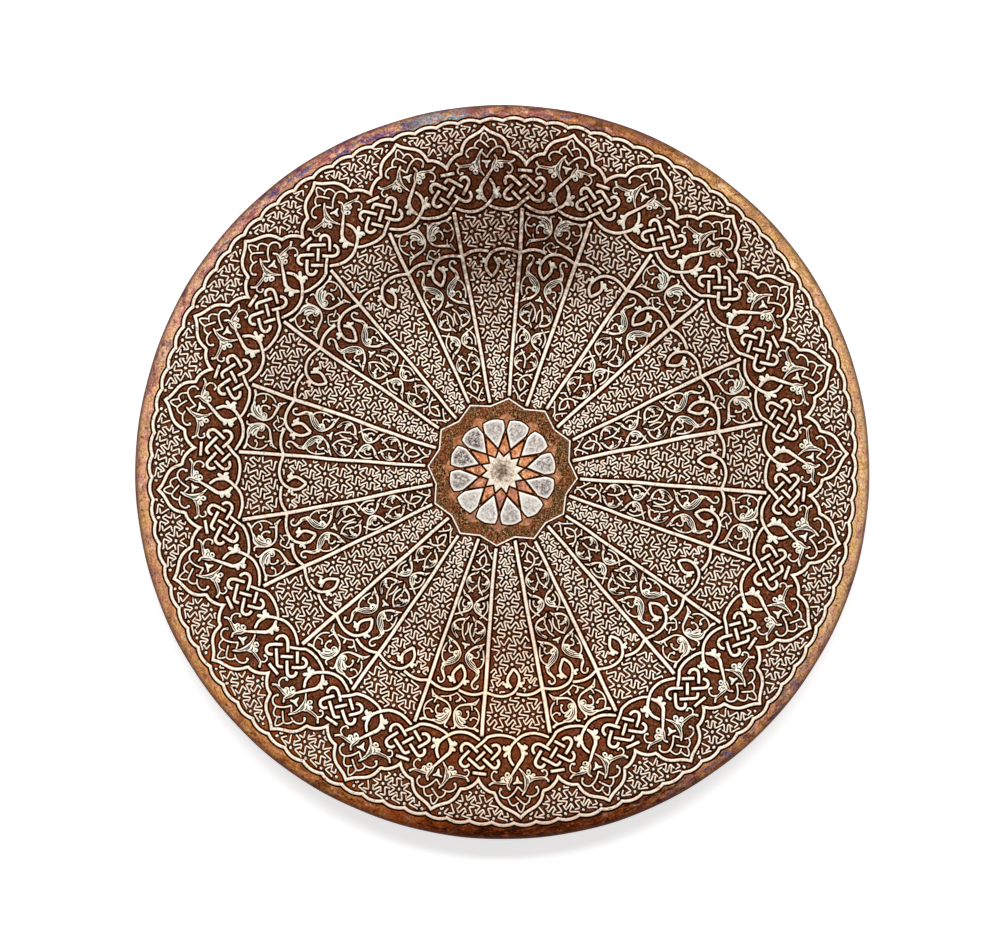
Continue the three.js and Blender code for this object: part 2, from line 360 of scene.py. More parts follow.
def add_strip(pile, plan, half, section, top, bottom, closed=False):
    """Closed strip along a path in plan. Its upper sides are worn, and its lower ones dark."""
    across, rise = np.array(section).T
    heights = np.where(rise > 0, rise * top, -bottom)
    edges = plan[:, None] + sideways(plan, closed)[:, None] * (half[:, None] * across)[..., None]
    points = lift(edges, np.broadcast_to(heights, edges.shape[:2])).reshape(-1, 3)
    sides, count = len(section), len(plan)
    faces = wall_faces(count, sides, closed)
    looks = [TOP] * sides
    looks[1] = looks[sides - 3] = WORN
    looks[0] = looks[sides - 2] = SIDE
    looks *= len(faces) // sides
    if not closed:
        faces += end_faces(count, sides)
        looks += [SIDE, SIDE]
    pile.add(points, faces, looks)


def filled(outline):
    """Points and triangles that fill an outline in plan, close enough together to follow the dish. The
    outline's own points come first."""
    low, high = outline.min(axis=0) + PLATE_STEP / 2, outline.max(axis=0)
    rows = np.arange(low[1], high[1], PLATE_STEP)
    grid = np.array([(x, y) for x in np.arange(low[0], high[0], PLATE_STEP) for y in rows]).reshape(-1, 2)
    if len(grid):
        grid = grid[inside_loop(grid, outline)]
    if len(grid):
        grid = grid[clear_of(grid, outline, PLATE_MARGIN)]
    points = np.concatenate((outline, grid))
    edges = [(i, (i + 1) % len(outline)) for i in range(len(outline))]
    corners = [Vector(point) for point in points]
    made, _, triangles, sources, _, _ = delaunay_2d_cdt(corners, edges, [], 1, 1e-8)
    extra = [i for i, source in enumerate(sources) if not source]
    order = [source[0] if source else len(points) + extra.index(i) for i, source in enumerate(sources)]
    points = np.concatenate((points, np.array([tuple(made[i]) for i in extra]).reshape(-1, 2)))
    return points, [tuple(order[corner] for corner in triangle) for triangle in triangles]


def add_plate(pile, plan, top, bottom, bevel=0.0):
    """Closed plate over an outline in plan, its upper edge bevelled."""
    plan = leftward(plan)
    inward = -sideways(plan, True)
    count = len(plan)
    inner, triangles = filled(plan + inward * bevel)
    added = len(inner) - count
    points = [lift(plan, np.full(count, -bottom))]
    if bevel:
        points.append(lift(plan + inward * bevel * BEVEL_IN, np.full(count, top * BEVEL_UP)))
    faces = wall_faces(len(points) + 1, count)
    looks = [SIDE] * count + [TOP] * (len(faces) - count + 2 * len(triangles))
    cap = len(points) * count
    points += [lift(inner, np.full(len(inner), top)), lift(inner[count:], np.full(added, -bottom))]
    for triangle in triangles:
        order = triangle if area(inner[list(triangle)]) > 0 else triangle[::-1]
        faces.append(tuple(cap + corner for corner in order))
        faces.append(tuple(corner if corner < count else cap + added + corner for corner in reversed(order)))
    pile.add(np.concatenate(points), faces, looks)


class Field:
    """A stretch of the pattern, drawn along one direction of the tray, with x across and y outwards."""

    def __init__(self, angle, silver, lines, side=1):
        self.angle, self.silver, self.lines, self.side = angle, silver, lines, side

    def both_sides(self):
        return [Field(self.angle, self.silver, self.lines, side) for side in (1, -1)]

    def plan(self, points):
        return to_plan(np.asarray(points, dtype=float) * (self.side, 1), self.angle)

    def strip(self, path, width, kind=PLAIN, closed=False, round_ends=True, taper=(1, 1)):
        """Silver strip with its dark line. The taper gives its width along it, as shares of the width."""
        section, height, outline = kind
        plan = self.plan(path)
        share = np.interp(np.linspace(0, 1, len(plan)), np.linspace(0, 1, len(taper)), taper)
        half = share * width / 2 * UNIT * random.uniform(0.95, 1.06)
        line = outline * UNIT * random.uniform(0.9, 1.1)
        bed, level = plan, BED_HEIGHT
        if not closed:
            level *= random.uniform(0.8, 1.2)
            bed = stretch_ends(plan, line + (half[0] if round_ends else 0))
        add_strip(self.lines, bed, half + line, FLAT, level, SINK, closed)
        if round_ends and not closed:
            plan, half = with_round_ends(plan, half)
        add_strip(self.silver, plan, half, section, height, SINK, closed)

    def dot(self, radius, middle, kind=PLAIN):
        turns, ring = circle(10)
        size = radius * random.uniform(0.9, 1.08)
        stretch = 1 + 0.12 * np.sin(2 * turns + random.uniform(0, 6))
        ring = ring * (size * stretch)[:, None]
        add_plate(self.lines, self.plan(ring * (1 + kind[2] / size) + middle), BED_HEIGHT, SINK)
        add_plate(self.silver, self.plan(ring + middle), FINE_HEIGHT, SINK, DOT_BEVEL)

    def leaf(self, *outline):
        plan = leftward(self.plan(smooth_path(outline, 1.0, True)))
        add_plate(self.lines, plan + sideways(plan, True) * PLAIN[2] * UNIT, BED_HEIGHT, SINK)
        add_plate(self.silver, plan, FINE_HEIGHT, SINK, LEAF_BEVEL)

    def eye(self, radius, middle):
        """Silver dot with a dark one in it."""
        self.dot(radius, middle)
        self.pupil(radius * 0.4, middle)

    def pupil(self, radius, middle):
        add_plate(self.lines, self.plan(circle(8)[1] * radius + middle), CUT_TOP, CUT_DEPTH)

    def cut(self, *points):
        """Dark engraved line over a silver leaf."""
        plan = self.plan(smooth_path(points, 0.9))
        share = np.interp(np.linspace(0, 1, len(plan)), (0, 0.3, 0.7, 1), (0.4, 1, 1, 0.4))
        add_strip(self.lines, plan, share * CUT_WIDTH / 2 * UNIT, FLAT, CUT_TOP, CUT_DEPTH)

    def draw(self, *marks):
        """Marks in turn. Each is a kind of mark and what that takes, or the width of a strip, or that and
        its taper, and the points it runs through. With one point it is a dot, and the width its radius."""
        shapes = {"leaf": self.leaf, "cut": self.cut, "eye": self.eye, "pupil": self.pupil}
        for kind, *rest in marks:
            if kind in shapes:
                shapes[kind](*rest)
            elif len(rest) == 1:
                self.dot(kind, *rest)
            else:
                width, *taper = kind if isinstance(kind, tuple) else (kind, 1, 1)
                self.strip(smooth_path(rest), width, taper=taper)


# Fret, arcade and border, in drawn units

FRET_BEND = np.array(((-0.09, 0.31), (-0.27, 0.06), (0.27, -0.06), (0.09, -0.31)))
FRET_WIDTH, FRET_DOT, FRET_GAP = 1.87, 1.6, 1
FRET_ROUNDING, FRET_STEP, SHORTEST_FRET = 1.5, 1.3, 2.6
# How far a dot may be off its place, and how much of the spacing a dot lies aside from one it is tied to
DOT_SHIFT, TIED_SHARE = 0.35, 0.8


def longest_run(path, keep):
    """The longest stretch of a path that is kept."""
    marks = np.flatnonzero(np.diff(np.concatenate(([0], keep, [0]))))
    if not len(marks):
        return path[:0]
    longest = 2 * np.argmax(marks[1::2] - marks[::2])
    return path[marks[longest] : marks[longest + 1]]


def fret(field, rows, is_free):
    """Dots on a lattice, and a bent strip on each of its edges. Rows are (y, spacing, share of it that the
    middle dot is off centre, dots each way)."""
    dots, edges = [], []
    for y, spacing, offset, reach in rows:
        steps = [i + offset for i in range(-reach, reach + 1)]
        places = [turned([(0, y)], -math.degrees(step * spacing / y))[0] for step in steps]
        dots.append([place + random.uniform(-DOT_SHIFT, DOT_SHIFT, 2) for place in places])
    for row, line, below in zip(rows, dots, dots[1:] + [[]]):
        near = TIED_SHARE * row[1]
        edges += zip(line, line[1:])
        edges += [(here, other) for here in line for other in below if abs(other[0] - here[0]) < near]
    for start, end in edges:
        along = end - start
        aside = np.array((-along[1], along[0]))
        bend = (start + end) / 2 + FRET_BEND[:, :1] * along + FRET_BEND[:, 1:] * aside
        path = rounded_path(bend, FRET_ROUNDING, FRET_STEP)
        path = longest_run(path, is_free(path, FRET_WIDTH / 2))
        if len(path) > 1 and np.hypot(*np.diff(path, axis=0).T).sum() >= SHORTEST_FRET:
            field.strip(path, FRET_WIDTH, FRET)
    for middle in sum(dots, []):
        if is_free(middle[None], FRET_DOT)[0]:
            field.dot(FRET_DOT, middle, FRET)


# Lobed arcade round the rim: half of one lobe, as smooth runs between sharp points
LOBE_RUNS = (
    ((0, 345), (4.5, 341), (10, 337.8), (16, 334.6), (20.4, 330.4), (23, 325.6), (24, 322), (25, 319.4)),
    ((25, 319.4), (29.6, 318), (34, 315), (37.4, 311.2), (39.2, 308.4), (40.2, 306)),
)
LOBE_HALF = np.concatenate((smooth_path(LOBE_RUNS[0], 1.4), smooth_path(LOBE_RUNS[1], 1.4)[1:]))
ARCADE_WIDTH = 3.4
BORDER_SCALLOPS, SCALLOP_POINTS, SCALLOP_ROUNDNESS = 99, 12, 0.8
BORDER_LOW, BORDER_RISE, BORDER_WIDTH = 350.4, 2.8, 3.6
# How far the fret runs in under the border, and its gap to the next panel in degrees
UNDER_BORDER, PANEL_MARGIN = 0.7, 0.25
SPANDREL_ROWS = (
    (359.8, 18, 0.5, 3), (346.9, 18, 0, 3), (334.2, 18, 0.55, 3), (321.5, 18, 0.06, 2), (308.5, 18, 0.5, 1),
)
# A radius beyond the border
OUTSIDE = 360


def draw_arcade(field):
    """All lobes round the tray, drawn in the direction that the first one points in."""
    lobe = np.concatenate((LOBE_HALF[::-1] * (-1, 1), LOBE_HALF[1:-1]))
    path = np.concatenate([turned(lobe, -panel * PANEL_ANGLE) for panel in range(PANELS)])
    field.strip(path, ARCADE_WIDTH, BOLD, closed=True)


def draw_border(field):
    """Scalloped line just inside the rim, with round crests and sharp valleys."""
    turns, ring = circle(BORDER_SCALLOPS * SCALLOP_POINTS)
    crest = np.abs(np.sin(turns * BORDER_SCALLOPS / 2)) ** SCALLOP_ROUNDNESS
    uneven = 0.25 * np.sin(5 * turns + 1) + 0.175 * np.sin(11 * turns)
    radius = BORDER_LOW + BORDER_RISE * crest + uneven
    field.strip(ring[:, ::-1] * radius[:, None], BORDER_WIDTH, BOLD, closed=True)


def draw_spandrel(field):
    """Fret between two lobes and the border."""
    half_panel = PANEL_ANGLE / 2
    edge = np.concatenate((turned(LOBE_HALF, half_panel), turned(LOBE_HALF * (-1, 1), -half_panel)[::-1]))
    corners = np.concatenate((edge, turned([(0, OUTSIDE)], -half_panel), turned([(0, OUTSIDE)], half_panel)))

    def is_free(points, half_width):
        below_border = np.hypot(*points.T) < BORDER_LOW - BORDER_WIDTH / 2 + UNDER_BORDER - half_width
        off_arcade = clear_of(points, edge, ARCADE_WIDTH / 2 + FRET_GAP + half_width)
        in_panel = np.abs(np.degrees(np.arctan2(*points.T))) < half_panel - PANEL_MARGIN
        return inside_loop(points, corners) & below_border & off_arcade & in_panel

    fret(field, SPANDREL_ROWS, is_free)


# Motifs, as Field.draw takes them, in drawn units

# Knotted stem and leaves inside a lobe, with engraved leaves that end in a forked tail and round buds
LOBE = (
    (1.7, (-4.6, 331.6), (-3.7, 335.4), (-2, 338.6), (-0.4, 339.5), (1.3, 338), (2.8, 334.8), (3.8, 331.8)),
    (1.7, (1.9, 330.4), (5.8, 332.7), (9, 331.7), (10.8, 328.6), (11.7, 325)),
    (1.8, (-10.8, 325), (-9.5, 329.2), (-5.9, 331.9), (-2.6, 330.4), (3.4, 324.6)),
    (1.9, (-2.9, 318.8), (0.9, 314.8), (2.6, 316.8), (5.9, 320.8), (10.5, 324.2), (14.9, 324.9),
     (18.6, 322.6), (19.9, 319), (18.5, 316)),
    (1.5, (18.2, 315.8)),
    ((1.8, 0.8, 1, 1, 1, 1.1), (-7.4, 323.6), (-11.6, 324.7), (-15.8, 324), (-18.8, 321.6), (-19.8, 318.4),
     (-18.6, 316)),
    (1.5, (-18.2, 315.8)),
    ((3.6, 0.5, 0.9, 1.1, 1, 0.7, 0.4), (-3.2, 322.5), (-6.2, 317.9), (-7.5, 313.6), (-7.5, 308.6),
     (-6.3, 302.6), (-2.1, 296.8)),
    ("leaf", (-7, 315.4), (-9.6, 314.4), (-11, 311.6), (-14.6, 309.6), (-14.8, 306.6), (-17.4, 305),
     (-17.2, 302.6), (-14.8, 302), (-13, 303.4), (-11.4, 303), (-8.6, 303.4), (-6.4, 304.6), (-5.8, 309)),
    ((3.4, 1, 1, 0.9, 0.8, 0.5), (-8.6, 308.4), (-16, 307.3), (-23, 306.7), (-28, 307.2), (-30.6, 310)),
    ("cut", (-12, 307.9), (-16.4, 307.3), (-23, 306.8), (-27.6, 307.4)),
    (1.6, (-26.6, 306.4), (-29.2, 303.9), (-29, 300.7), (-26.8, 298.8), (-24.9, 299.7)),
    (1.4, (-24.7, 299.9)), (1.4, (-30.4, 309.8)), ("eye", 2.9, (-10.8, 300.6)),
    ("cut", (-4.6, 319.6), (-7.3, 315.4), (-8.2, 310.6), (-7.6, 305.6), (-4.8, 300.2)),
    ("cut", (-9.2, 312.6), (-9.8, 309.6), (-9, 306.2)),
    ("cut", (-12.2, 309.4), (-12.6, 306.8), (-10.6, 304.6)), ("cut", (-15.8, 304.6), (-14.4, 304.4)),
    ((3.3, 0.7, 1, 1, 0.9, 0.6), (6.6, 302.9), (7.6, 307), (9.8, 310.6), (10.8, 313.4), (9.4, 316.6)),
    ("leaf", (5.6, 304), (7, 308.4), (9.6, 310.6), (14.6, 311.8), (18, 310.6), (20, 308.6), (17.8, 307.6),
     (17.6, 304.6), (14.6, 303.4), (12.6, 305), (10, 305), (8.4, 303), (6.4, 301.4)),
    ((3.1, 1, 1, 0.9, 0.8, 0.6), (9.7, 309.2), (15, 310.2), (20.7, 309.5), (25.7, 309.2), (28.9, 310.9)),
    (1.3, (29, 311.2)),
    (1.6, (23.3, 308), (26.2, 305.6), (26.8, 302.4), (25.7, 299.8), (23.4, 297.9), (21.9, 298.6)),
    (1.4, (21.5, 299)), ("eye", 1.7, (15.9, 306)), ("eye", 2.9, (10.7, 302.2)),
    ("cut", (12, 310.2), (16, 310), (20.6, 309.4), (25.4, 309.3)),
    ("cut", (9.6, 314.8), (10.2, 312.2), (8.2, 307.4), (7.2, 304.4)),
    ("cut", (11.4, 308.4), (13.2, 307.6), (14.2, 305)), ("cut", (9.4, 307), (10.6, 306.2)),
    ((3.7, 0.6, 0.8, 0.95, 1.05, 1.1, 1, 0.9), (6.4, 303), (2.1, 297.1), (-2.1, 291.4), (-5.7, 286.4),
     (-6.6, 281.4), (-5.2, 276.4), (-2.6, 272.4)),
    ("leaf", (-6, 285), (-9.2, 283.8), (-11.2, 283.2), (-11.6, 281.4), (-9.6, 280), (-6.4, 278.4),
     (-4.6, 281)),
    ("leaf", (-5.6, 279.4), (-9.6, 278.4), (-11.7, 276.6), (-11.4, 274), (-9.8, 273.9), (-8.8, 272.4),
     (-7.2, 274), (-4.4, 272.6), (-3.4, 275.4)),
    ("leaf", (6.4, 284.4), (8.8, 282.4), (10.8, 284.8), (13.2, 285), (13.6, 282.8), (11.6, 280.4),
     (8.6, 277.8), (6, 279.4)),
    ("leaf", (7.4, 279.4), (10.6, 279.4), (13.4, 278), (14, 275.2), (12.6, 273.2), (10.9, 275), (8.8, 273.4),
     (5.4, 275)),
    ("leaf", (-3.9, 312), (-1.2, 311.6), (0.8, 311.4), (2.8, 311.6), (5.2, 312), (5.4, 310.4), (3.2, 309.2),
     (2.1, 306.8), (1.5, 304.2), (0.3, 304.2), (-0.5, 306.8), (-1.4, 309.2), (-3.9, 310.2)),
)
# One of two facing scrolls at the wall's top
TOP_SCROLL = (
    ((1.9, 1.7, 1, 0.9, 0.8, 0.8, 0.85, 0.9, 0.9, 1, 1.2, 1.5, 1.5, 0.5), (-28.9, 258), (-26, 256.8),
     (-21.3, 257), (-16.7, 257), (-12, 258.2), (-8.7, 257.8), (-5.3, 255.2), (-3.3, 252), (-2, 247.3),
     (-2, 243.3), (-3.7, 239.3), (-6.7, 236.3), (-10.7, 234.7), (-15.3, 233.3), (-19.3, 232), (-22, 230),
     (-24, 226)),
    ("eye", 2, (-20.9, 231.8)), (1.5, (-19.3, 238.3), (-18.5, 235.3), (-17.3, 233.6)),
    (1.6, (-24.6, 256), (-27, 252.4), (-28, 248.7), (-28, 244.7), (-26.7, 240.7), (-24.3, 237.7),
     (-22, 236)),
    (1.3, (-28, 247.7), (-25.3, 246.3), (-22.3, 245.9), (-20.3, 247.6)), (1.5, (-20, 248.2)),
    (1.6, (-11.8, 248.7), (-15, 248.7), (-16.7, 245.6), (-16.4, 242)), (1.5, (-15.1, 240.9)),
    (1.8, (-2.5, 260.4), (-4.7, 259.6), (-5.3, 257.2), (-4.2, 254.4)),
    ("leaf", (-18.5, 256.6), (-14, 257.6), (-9, 257.4), (-5.5, 254.6), (-3.1, 250.5), (-2.4, 246),
     (-3, 242.5), (-5.5, 241.2), (-8.5, 241.8), (-9.9, 244.4), (-8.9, 246.8), (-10.7, 247.4), (-12.3, 249.2),
     (-14.9, 250.4), (-15.9, 252.5), (-13.2, 253.8), (-14.4, 255), (-18, 255.2)),
    ("cut", (-16, 256.2), (-11.5, 256.4), (-7.5, 254.4), (-4.4, 250.4), (-3.5, 245.4)),
    ("cut", (-12.6, 255), (-9, 253.4), (-6.2, 250), (-5, 246.4)),
    ("cut", (-13.8, 252.2), (-10.4, 251), (-7.8, 248.4)),
    ("cut", (-5.6, 245.8), (-7.4, 246.2), (-8.4, 244.6), (-7.2, 243.2), (-5.8, 243.8)),
)
# Bracket over the drop
BRACKET = (
    (1.5, (-10.7, 231), (-6, 228.3), (-3.4, 226.4), (-1.3, 225), (0.8, 226.4), (3.3, 228), (8, 230),
     (13.7, 231.2)),
    (2, (-5.3, 229), (-4.9, 231.2), (-2.5, 232.9)), (2.3, (4.9, 229.4), (4, 232.8)),
)
# Leaves beside the drop
ARC_LEAVES = (
    ("leaf", (-4.9, 213.4), (-7.2, 215.9), (-9.2, 215), (-8.5, 212.9), (-10.8, 212.7), (-11.5, 210.9),
     (-9.8, 209.8), (-7.6, 210.4), (-5.6, 208.6)),
    ("leaf", (4.6, 213.4), (6.6, 215.4), (8.4, 214.6), (9.2, 212.5), (11.2, 211.4), (10.6, 209.4),
     (8.2, 209.9), (6.4, 208.8)),
)
# One of two scrolls beside the drop: a curl, a broad engraved stem and a beaked head
S_SCROLL = (
    ((3.4, 0.5, 0.5, 0.5, 0.75, 1.05, 1.05, 1, 0.9, 0.7, 0.55, 0.55, 0.6, 0.8, 0.85, 0.3), (-20.3, 214.3),
     (-18.7, 216.9), (-15.9, 216.9), (-14.2, 215), (-14.1, 212), (-15.7, 208.7), (-17.5, 205.3),
     (-17.6, 202), (-15.7, 198.7), (-11.7, 196), (-7.7, 193.7), (-4.4, 190.7), (-3.4, 186.7), (-4.1, 182.7),
     (-7.1, 178.7), (-10.4, 176), (-14.4, 174.3), (-18.4, 171.3)),
    (1.5, (-20, 214)),
    ("leaf", (-18.6, 201.4), (-16.4, 201), (-12.6, 199.4), (-8, 196.8), (-4.4, 193.2), (-2.3, 188.8),
     (-2.2, 184.6), (-4.2, 181.8), (-6.6, 183.2), (-8.6, 183.6), (-10.2, 185.4), (-10.2, 187.8), (-9, 189.4),
     (-11.4, 191), (-13.8, 193.4), (-15, 195.6), (-17.6, 197), (-19.4, 199)),
    ("cut", (-17, 199.4), (-12.2, 197.6), (-7.8, 194.8), (-4.8, 191), (-3.6, 187), (-4.6, 183.6)),
    ("cut", (-16.6, 197.6), (-11.8, 195.6), (-8.2, 193), (-5.6, 189.8), (-5.3, 186.6), (-6.6, 184.7)),
    ("cut", (-14, 194.8), (-11, 193), (-8.4, 190.8), (-7.4, 188.9)),
    ("cut", (-16.6, 205.6), (-17.4, 203.2), (-16.6, 201.4)), ("pupil", 1, (-7.3, 186.6)),
    (1.6, (-17, 197), (-19.4, 194.7), (-20.7, 190.7), (-20.7, 186), (-19.7, 182), (-18.4, 178.3)),
    (1.5, (-20.7, 186.6), (-18.4, 186.6)), (1.5, (-11, 186.2), (-13.6, 186.5), (-15.1, 184), (-14.7, 181.4)),
    (1.4, (-13.8, 180.7)), (1.5, (-15.2, 178.2), (-16.5, 175.2)), ("pupil", 0.8, (-13.2, 174.8)),
)
# Small cross under the drop
SMALL_CROSS = (
    ("leaf", (-1, 179.8), (0.4, 179.8), (0.9, 177.2), (3.6, 175.8), (3.8, 174.2), (-0.2, 174.6),
     (-4.2, 174.2), (-4, 175.8), (-1.5, 177.2)),
)
# One of two scrolls whose heads meet low in the middle, and the crossing stems between them
THIRD_SCROLL = (
    ((2.3, 0.9, 1, 0.9, 0.8, 0.8, 1.1, 1.3, 0.4), (-9.4, 170.4), (-13.3, 167.2), (-15.7, 163.4),
     (-16.2, 159.4), (-15.1, 155.9), (-12, 153.1), (-8, 151.7), (-4.4, 151.2), (-1.8, 148)),
    ("leaf", (-9.6, 170.8), (-13.5, 168.4), (-16.2, 164.4), (-16.9, 160), (-15.8, 157.4), (-13, 157.8),
     (-12.4, 159.5), (-10.6, 160.6), (-9.5, 162.6), (-11, 163.4), (-12.1, 162.2), (-13.2, 163.6),
     (-12.4, 166), (-9, 169)),
    ("cut", (-11, 169.2), (-14, 166), (-15.6, 162), (-15.4, 158.8)),
    ("cut", (-12.6, 167), (-14.2, 163.8), (-14.2, 160.4)), ("cut", (-13, 161), (-12.2, 160.4)),
    ("pupil", 0.85, (-4.9, 151.4)), (1.4, (-6.2, 156.4), (-5.6, 153.2)),
    (1.5, (-10.8, 161), (-9.4, 162.6), (-7.6, 162)),
)
THIRD_SCROLL_STEMS = (
    (1.5, (-5.7, 165.7), (-6.3, 158.6)), (1.2, (-7.3, 158.6)),
    (1.8, (-8.7, 171.9), (-5.3, 169.4), (-2.7, 165.7), (-1.3, 161.7), (-1.3, 158.4), (-2.3, 154.7)),
    (1.7, (2, 171.2), (4.7, 167), (5.9, 163), (6.3, 159), (7.2, 157.2)),
    (1.6, (2.3, 166.2), (1, 163), (0.8, 159), (1.4, 154.8)),
)
# One of two scrolls that touch back to back in the middle
FOURTH_SCROLL = (
    ((2.1, 0.75, 0.8, 0.9, 1, 1, 0.85, 0.9, 1.4, 1.2, 0.35), (-16, 148), (-11.3, 145.7), (-6.7, 143.7),
     (-3.3, 141.4), (-1.4, 138), (-1.7, 134.4), (-4, 131), (-7.3, 128.4), (-10.3, 127), (-12.9, 122.8)),
    ("leaf", (-8.4, 143.8), (-4.4, 142.2), (-1.7, 138.8), (-1.3, 135.4), (-3.2, 133.5), (-5.9, 134),
     (-6.9, 135.6), (-5.6, 137.2), (-7.8, 139.4), (-9.6, 141.4)),
    ("cut", (-7.6, 142.4), (-4, 140.4), (-2.4, 137), (-2.8, 134.8)),
    ("cut", (-7.4, 140.6), (-5, 138.6), (-4.2, 136)), ("pupil", 0.85, (-9.9, 127.3)),
    (1.6, (-9, 147.9), (-11.7, 145), (-14, 141), (-14.7, 137.7), (-14.4, 134.4), (-13.2, 130.6)),
    (1.5, (-7.2, 139), (-9.8, 138.6), (-11, 135.9), (-10.4, 133.5)), (1.3, (-10, 133)),
)
# One of the last two scrolls, and the stems between them
FIFTH_SCROLL = (
    ((2.2, 0.7, 0.9, 1, 1, 0.9, 0.8, 1, 1.2, 0.4), (-3.6, 122.8), (-6.6, 121.2), (-9.3, 118.6), (-11, 115),
     (-10.9, 110.8), (-9, 107.6), (-6.2, 105.6), (-3.5, 104.5), (-1.6, 102.4)),
    ("leaf", (-6.4, 121.4), (-9.6, 119), (-11.5, 115), (-11.4, 110.6), (-9.2, 109.4), (-7.4, 110.4),
     (-8.6, 112.4), (-7.8, 114.4), (-8.6, 117.4), (-5.6, 120)),
    ("cut", (-7.6, 119.6), (-9.8, 116.4), (-10.2, 112)), ("cut", (-8.2, 116.2), (-8.9, 113.4)),
    ("pupil", 0.8, (-4, 105)), (1.5, (-7.8, 112.2), (-6.9, 113.9), (-4.6, 113.8)),
)
FIFTH_SCROLL_STEMS = (
    (1.7, (-6.6, 124.4), (-3.4, 120), (-1.2, 116.4), (-0.7, 112.4), (-0.7, 107.7)),
    (1.6, (7.2, 124), (3.6, 120.6), (0.6, 116.4)),
)
# The small drop and the fork that close a panel's narrow end
SMALL_DROP = (
    (1.8, (0, 84.2), (-1.8, 86.4), (-3.4, 90.4), (-3.1, 94.4), (-1.1, 97.7), (2.3, 100.1), (5.6, 100.6),
     (8.6, 98.4)),
    (1.8, (0, 84.2), (2.6, 87.7), (3.3, 91), (2.3, 94.4), (0.8, 95.6)),
    (1.5, (-9.1, 97.7), (-7.2, 99.8), (-5.7, 101)), (1.5, (-6.6, 100), (-2, 99.2)),
    (1.5, (8.4, 102), (5.2, 100.8)), (1.7, (-7.1, 93.3), (-3.6, 93.8)), (1.7, (6.1, 92.3), (3.6, 93.8)),
    (1.5, (-8.4, 87), (-5.1, 83), (-1.8, 79), (-0.6, 75.4)), (1.4, (-6.9, 81.2), (-5.4, 82.8)),
    (1.5, (7.3, 86.4), (3.6, 82.4), (0.5, 77.9), (2.1, 74.8), (4.8, 74.4)), (1.1, (5.2, 74.8)),
    (1.4, (6.1, 81.4), (4.6, 82.8)),
)

# Straps of the knot between two lobes
KNOT_WIDTH, KNOT_ROUNDING = 3.3, 3.2
KNOT_STRAPS = (
    ((-7.4, 302.5), (6.6, 302.4)),
    ((-5, 294.2), (-0.9, 298.2), (12.9, 287.5)),
    ((-17.9, 286.8), (-20, 290.6), (-18.4, 294.6), (-14.4, 295.9), (-11, 293.6), (-2.8, 287.2)),
    ((10.8, 293.9), (13.6, 297), (17.8, 296.6), (20.6, 292.6), (18.9, 288.4), (11.7, 280)),
    ((-11.3, 288), (-17.4, 281.4), (-19.8, 277.4), (-18.2, 273.6), (-14.4, 272.2), (-10.6, 273.9)),
    ((19, 282.2), (20.5, 278.4), (18.9, 274.4), (15, 272.6), (10.6, 274.2), (3, 281.2)),
    ((4.4, 289.3), (-4, 279.9)),
    ((-11.9, 281.1), (-2.7, 273.3)),
)
# Arcs at the wall's top: from the rib up into a lobe, and over to the next knot
OUTER_ARC_WIDTHS = 3.2, 3.1
OUTER_ARC_LEFT = (
    (-32, 266), (-25, 263.3), (-18, 262), (-10, 263), (-4.5, 265.5), (0.4, 269.5), (4.4, 273.5), (7.2, 278.5),
    (7.6, 283), (6.9, 287.4), (4.2, 292.2),
)
OUTER_ARC_RIGHT = ((1.4, 267), (6, 264.8), (13, 263), (20, 262.3), (28, 263.5))
OUTER_ARC_END = ((-4, 267.5), (-0.5, 271.2), (4.5, 275.6))
# Arcs over a panel, and the other side of the drop that one of them ends in
INNER_ARC_WIDTH = 3
INNER_ARCS = (
    ((-28, 218.2), (-20, 222.3), (-11.3, 223.4), (-2.4, 221.7)),
    ((28, 218.2), (19.3, 221.9), (11.3, 223.4), (4, 222.1), (-0.7, 219.2), (-3.3, 215.6), (-5.2, 211.6),
     (-6, 207.6), (-5.4, 203.3), (-3.1, 199.3), (-0.3, 196.2)),
    ((-0.3, 196.2), (1.8, 199), (4.9, 203.3), (6.2, 207.3), (5.2, 211), (2.4, 215.6)),
)
# Small knot of two bent straps over the drop, in the panels that have no bracket there
HEART_WIDTH, HEART_ROUNDING = 1.5, 2.4
HEART_STRAPS = (
    ((-2.4, 223.6), (-5.4, 224), (-6.2, 227.4), (0.1, 234.2), (3.9, 231.5)),
    ((-2.7, 228), (0.9, 224), (4.6, 223), (7.2, 225), (7.3, 228)),
)
HEART_ENDS = ((1.5, (2.9, 228.9), (8.5, 231.3)), (1, (-6.6, 231.8)))
BRACKET_PANELS = (162, 192, 222)


def draw_lobe(field):
    field.draw(*LOBE)


def draw_knot(field):
    for strap in KNOT_STRAPS:
        field.strip(rounded_path(strap, KNOT_ROUNDING), KNOT_WIDTH, BOLD, round_ends=False)


def draw_outer_arcs(field):
    field.strip(smooth_path(OUTER_ARC_LEFT), OUTER_ARC_WIDTHS[0], BOLD, taper=(0.9, 1, 1, 1, 0.95))
    right = np.concatenate((OUTER_ARC_RIGHT, turned(OUTER_ARC_END, -PANEL_ANGLE / 2)))
    field.strip(smooth_path(right), OUTER_ARC_WIDTHS[1], BOLD, taper=(0.85, 1, 1, 1))


def draw_inner_arcs(field):
    for path in INNER_ARCS:
        field.strip(smooth_path(path), INNER_ARC_WIDTH, BOLD, round_ends=False)
    field.draw(*ARC_LEAVES)


